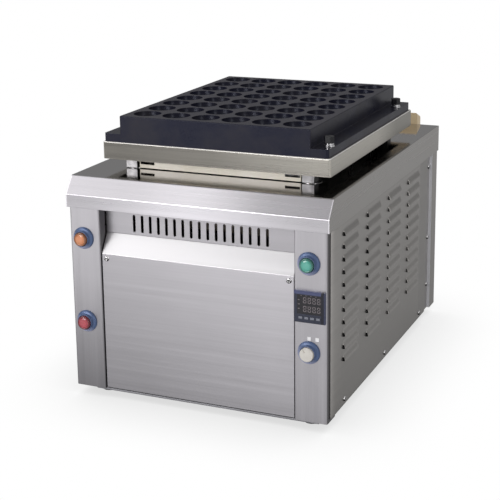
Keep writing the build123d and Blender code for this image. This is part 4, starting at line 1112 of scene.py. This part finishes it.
class TAKO_OT_buttons(bpy.types.Operator):
    """Lens caps of the three push buttons"""

    bl_idname = "tako.buttons"
    bl_label = "Push buttons"

    def execute(self, context):
        for name in ("orange", "red", "green"):
            node = f"{name}_button"
            low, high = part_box(node)
            middle = control_centre(node)
            radius = (high.x - low.x) / 2
            profile = cap_profile(radius, high.y - low.y - CAP_RELIEF)
            shape = turned([(r, -d) for r, d in profile], middle, (0, -1, 0), 64)
            base = getattr(settings("control"), name)
            new_piece(f"{name}_cap_lens", shape, f"{name}_cap",
                      lens(f"{name}_lens", base, middle, radius), node)
        return {"FINISHED"}


class TAKO_OT_selector(bpy.types.Operator):
    """Ivory selector knob with its pointer, and the marks of its two positions"""

    bl_idname = "tako.selector"
    bl_label = "Selector knob"

    def execute(self, context):
        control = settings("control")
        dress(moulded("ivory_knob", control.ivory, 0.26, 1200.0), "selector_knob")
        middle = control_centre("selector_knob")
        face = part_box("front_column_right")[0].y
        half, foot = control.mark_wide / 2, middle.z + control.mark_rise
        marks = [film((middle.x + x - half, middle.x + x + half), (foot, foot + control.mark_tall),
                      face, MARK_FILM) for x in MARKS]
        new_piece("position_marks", joined(marks), "case",
                  painted("position_marks", control.mark, 0.4, 900.0),
                  smooth=False)
        return {"FINISHED"}


def digit_strokes(width, tall, stroke):
    """Seven bars of one figure, each as (x, z, width, height) from the figure's middle."""
    w, h, gap = width / 2, tall / 2, stroke * 0.25
    side = gap + stroke
    bars = [(side - w, z, width - 2 * side, stroke) for z in (h - stroke, -stroke / 2, -h)]
    bars += [(x, z, stroke, h - stroke / 2 - 2 * gap)
             for x in (-w, w - stroke) for z in (stroke / 2 + gap, gap - h)]
    return bars


class TAKO_OT_controller(bpy.types.Operator):
    """Face of the temperature controller, its figures, lamps and keys"""

    bl_idname = "tako.controller"
    bl_label = "Temperature controller"

    def execute(self, context):
        control = settings("control")
        dress(controller_navy(control), "controller_case")
        dress(smoked_pane(control), "controller_window")
        dress(moulded("key_grey", control.key, 0.4), "key_mode", "key_shift", "key_down", "key_up")
        low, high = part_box("controller_window")
        middle = (low + high) / 2
        strokes = digit_strokes(control.digit_wide, control.digit_tall, control.stroke)
        rows = (control.upper_row, -control.lower_row)
        bars = [(FIGURES_ASIDE + (k - 1.5) * control.digit_pitch + x, row + z, wide, tall)
                for row in rows for k in range(4) for x, z, wide, tall in strokes]
        x, z, *size = LAMP_BAR
        bars += [(x, row + z, *size) for row in (*rows, 0.0)]
        x, *rest = KEY_TICK
        bars += [(x + k * TICK_PITCH, *rest) for k in range(4)]
        plates = [film((middle.x + x, middle.x + x + wide), (middle.z + z, middle.z + z + tall),
                       low.y, FIGURE_FILM) for x, z, wide, tall in bars]
        new_piece("display_figures", joined(plates), "case", display_segment_glow(control),
                  smooth=False)
        return {"FINISHED"}


class TAKO_OT_inner_works(bpy.types.Operator):
    """Burners, gas train, drive and electrics inside and behind the case"""

    bl_idname = "tako.inner_works"
    bl_label = "Inner works"

    def execute(self, context):
        dress(brushed("burner_steel", (0.50, 0.44, 0.38), "Y", rough=0.42), "burner_box",
              "burner_tubes")
        dress(zinc("zinc_plate", (0.56, 0.57, 0.59)), "drive_rails", "motor_bracket",
              "gas_manifold", "valve_stand", "gas_pipes")
        alloy = painted("cast_alloy", (0.42, 0.43, 0.45), 0.45, 700.0)
        alloy.set("Metallic", 0.8)
        dress(alloy, "bearing_housings", "gearbox", "gas_valve")
        dress(painted("motor_paint", (0.10, 0.105, 0.115), 0.45), "drive_motor")
        dress(bright_steel("turned_brass", (0.70, 0.52, 0.24), 0.24), "gas_inlet", "injectors")
        dress(enamel("electrode_glaze", (0.82, 0.80, 0.76)), "electrodes")
        dress(moulded("black_plastic", (0.022, 0.022, 0.024), 0.42, 1000.0), "contact_blocks",
              "ignition_box", "terminal_block", "cable_gland")
        return {"FINISHED"}


# Place, aim, width and height, and tint of each lamp.
LAMPS = {
    "key": ((-1.1, -2.6, 0.75), (0, -0.1, 0.30), (1.2, 0.8), (1.0, 0.985, 0.99)),
    "top": ((-1.5, -1.3, 1.9), (0, -0.1, 0.3), (1.6, 1.8), (1.0, 0.99, 0.985)),
    "side": ((2.3, -1.5, 1.0), (0.1, 0.0, 0.2), (0.5, 1.2), (1.0, 0.98, 0.96)),
}


class TAKO_OT_studio(bpy.types.Operator):
    """Floor, lamps, surroundings and camera"""

    bl_idname = "tako.studio"
    bl_label = "Studio"

    def execute(self, context):
        studio = settings("studio")
        self.floor(studio)
        self.surroundings(studio)
        for name, lamp in LAMPS.items():
            self.lamp(f"{name}_lamp", *lamp, getattr(studio, name))
        self.camera(studio)
        return {"FINISHED"}

    def floor(self, studio):
        """A wide level floor, white to the camera, with the soft shadow of what stands on it.

        Metal sees it darker far in front, beside and behind.
        """
        reach, lines = 6.0, 13
        x, y = np.meshgrid(*[np.linspace(-reach, reach, lines)] * 2)
        points = np.stack([x, y, np.full_like(x, -0.0002)], -1).reshape(-1, 3)
        mesh = bpy.data.meshes.new("floor")
        mesh.from_pydata(points.tolist(), [], grid_faces(lines, lines).tolist())
        ground = bpy.data.objects.new("floor", mesh)
        bpy.context.scene.collection.objects.link(ground)
        made = Finish("studio_floor", (studio.floor,) * 3, 0.0, 0.7)
        made.tint(made.noise(2.0, 2.0), (studio.floor * 0.97,) * 3)
        shadow = made.node("AmbientOcclusion", Distance=0.16, samples=12).outputs["AO"]
        run, across = made.axis("Y"), made.axis("X")
        front = made.total(made.band(run, -1.25, -0.35, studio.front_floor,
                                     studio.front_floor * 0.5),
                           made.band(run, -1.45, -1.15, 0.25, 0.0))
        far = made.band(run, -1.70, -1.52, studio.far_floor / studio.front_floor, 1.0, True)
        front = made.product(front, far, made.band(across, -0.7, -0.1, 1.0, 0.86))
        beside = made.band(across, 0.24, 0.70, studio.back_floor * 0.75, studio.back_floor * 1.1)
        level = made.pick(made.band(run, -0.33, -0.25), front, beside)
        glossy, seen = made.rays()
        white = made.node("Emission", (1.0, 1.0, 1.0), made.product(
            made.pick(glossy, 1.0, level), made.band(shadow, 0.15, 0.95, 0.70, 1.0)))
        shown = made.node("MixShader", seen, made.surface.outputs[0], white.outputs[0])
        made.feed(made.tree.nodes["Material Output"].inputs["Surface"], shown.outputs[0])
        mesh.materials.append(made.material)

    def surroundings(self, studio):
        """Plain air: white to the camera; metal sees it fade from overhead to the horizon."""
        world = bpy.data.worlds.new("studio_air")
        bpy.context.scene.world = world
        world.use_nodes = True
        sky = Pattern(world.node_tree)
        air = sky.tree.nodes["Background"]
        sky.feed(air.inputs["Color"], (1.0, 0.99, 0.985))
        sky.feed(air.inputs["Strength"], studio.air)
        way = sky.node("TexCoord").outputs["Generated"]
        height = sky.band(sky.split(way, "Z"), 0.12, 0.75, studio.horizon, studio.zenith)
        back = sky.band(sky.split(way, "Y"), -0.6, 0.6, 1.0, studio.behind)
        glossy, seen = sky.rays()
        white = sky.node("Background", (0.8, 0.8, 0.8),
                         sky.pick(glossy, 1.0, sky.product(height, back)))
        shown = sky.node("MixShader", seen, air.outputs[0], white.outputs[0])
        sky.feed(sky.tree.nodes["World Output"].inputs["Surface"], shown.outputs[0])

    def lamp(self, name, place, aim, size, tint, power):
        """A rectangular soft lamp."""
        data = bpy.data.lights.new(name, "AREA")
        data.shape, data.size, data.size_y = "RECTANGLE", size[0], size[1]
        data.energy, data.color = power, tint
        made = bpy.data.objects.new(name, data)
        bpy.context.scene.collection.objects.link(made)
        made.location = place
        made.rotation_euler = (Vector(aim) - Vector(place)).to_track_quat("-Z", "Y").to_euler()

    def camera(self, studio):
        """The camera, set out from the middle of the cover's front edge."""
        low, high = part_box("top_cover")
        edge = Vector(((low.x + high.x) / 2, low.y, deck_height()))
        turn, dip, roll = studio.turn, studio.dip, studio.roll
        back = Vector((math.sin(turn) * math.cos(dip), -math.cos(turn) * math.cos(dip),
                       math.sin(dip)))
        right = Vector((math.cos(turn), math.sin(turn), 0.0))
        up = right.cross(-back)
        tilted = right * math.cos(roll) + up * math.sin(roll)
        upper = up * math.cos(roll) - right * math.sin(roll)
        data = bpy.data.cameras.new("camera")
        data.lens, data.sensor_width, data.sensor_fit = studio.lens, 36.0, "HORIZONTAL"
        data.shift_x, data.shift_y = studio.shift
        data.clip_start, data.clip_end = 0.05, 60.0
        made = bpy.data.objects.new("camera", data)
        bpy.context.scene.collection.objects.link(made)
        turned_to = Matrix((tilted, upper, back)).transposed().to_4x4()
        made.matrix_world = Matrix.Translation(edge + Vector(studio.reach)) @ turned_to
        bpy.context.scene.camera = made
        bpy.context.scene.view_settings.view_transform = "Standard"


OPERATORS = (
    TAKO_OT_case_sheets,
    TAKO_OT_side_panels,
    TAKO_OT_carriage,
    TAKO_OT_fasteners,
    TAKO_OT_bezels,
    TAKO_OT_buttons,
    TAKO_OT_selector,
    TAKO_OT_controller,
    TAKO_OT_inner_works,
    TAKO_OT_studio,
)


class TAKO_PT_panel(bpy.types.Panel):
    """Lists the operators and their settings"""

    bl_label = "Takoyaki Maker"
    bl_idname = "TAKO_PT_panel"
    bl_space_type = "VIEW_3D"
    bl_region_type = "UI"
    bl_category = "Takoyaki"

    def draw(self, context):
        layout = self.layout
        for operator in OPERATORS:
            layout.operator(operator.bl_idname)
        for name, group in GROUPS.items():
            box = layout.box()
            for prop in group.__annotations__:
                box.prop(getattr(context.scene, name), prop)


def register():
    """Registers the settings, the operators and the panel."""
    for name, group in GROUPS.items():
        bpy.utils.register_class(group)
        setattr(bpy.types.Scene, name, PointerProperty(type=group))
    for operator in OPERATORS:
        bpy.utils.register_class(operator)
    bpy.utils.register_class(TAKO_PT_panel)


def unregister():
    """Takes everything back out."""
    bpy.utils.unregister_class(TAKO_PT_panel)
    for operator in reversed(OPERATORS):
        bpy.utils.unregister_class(operator)
    for name, group in GROUPS.items():
        delattr(bpy.types.Scene, name)
        bpy.utils.unregister_class(group)


def main():
    """Builds every piece and the stage."""
    register()
    for operator in OPERATORS:
        group, action = operator.bl_idname.split(".")
        getattr(getattr(bpy.ops, group), action)()
    bpy.context.view_layer.update()


if __name__ == "__main__":
    main()
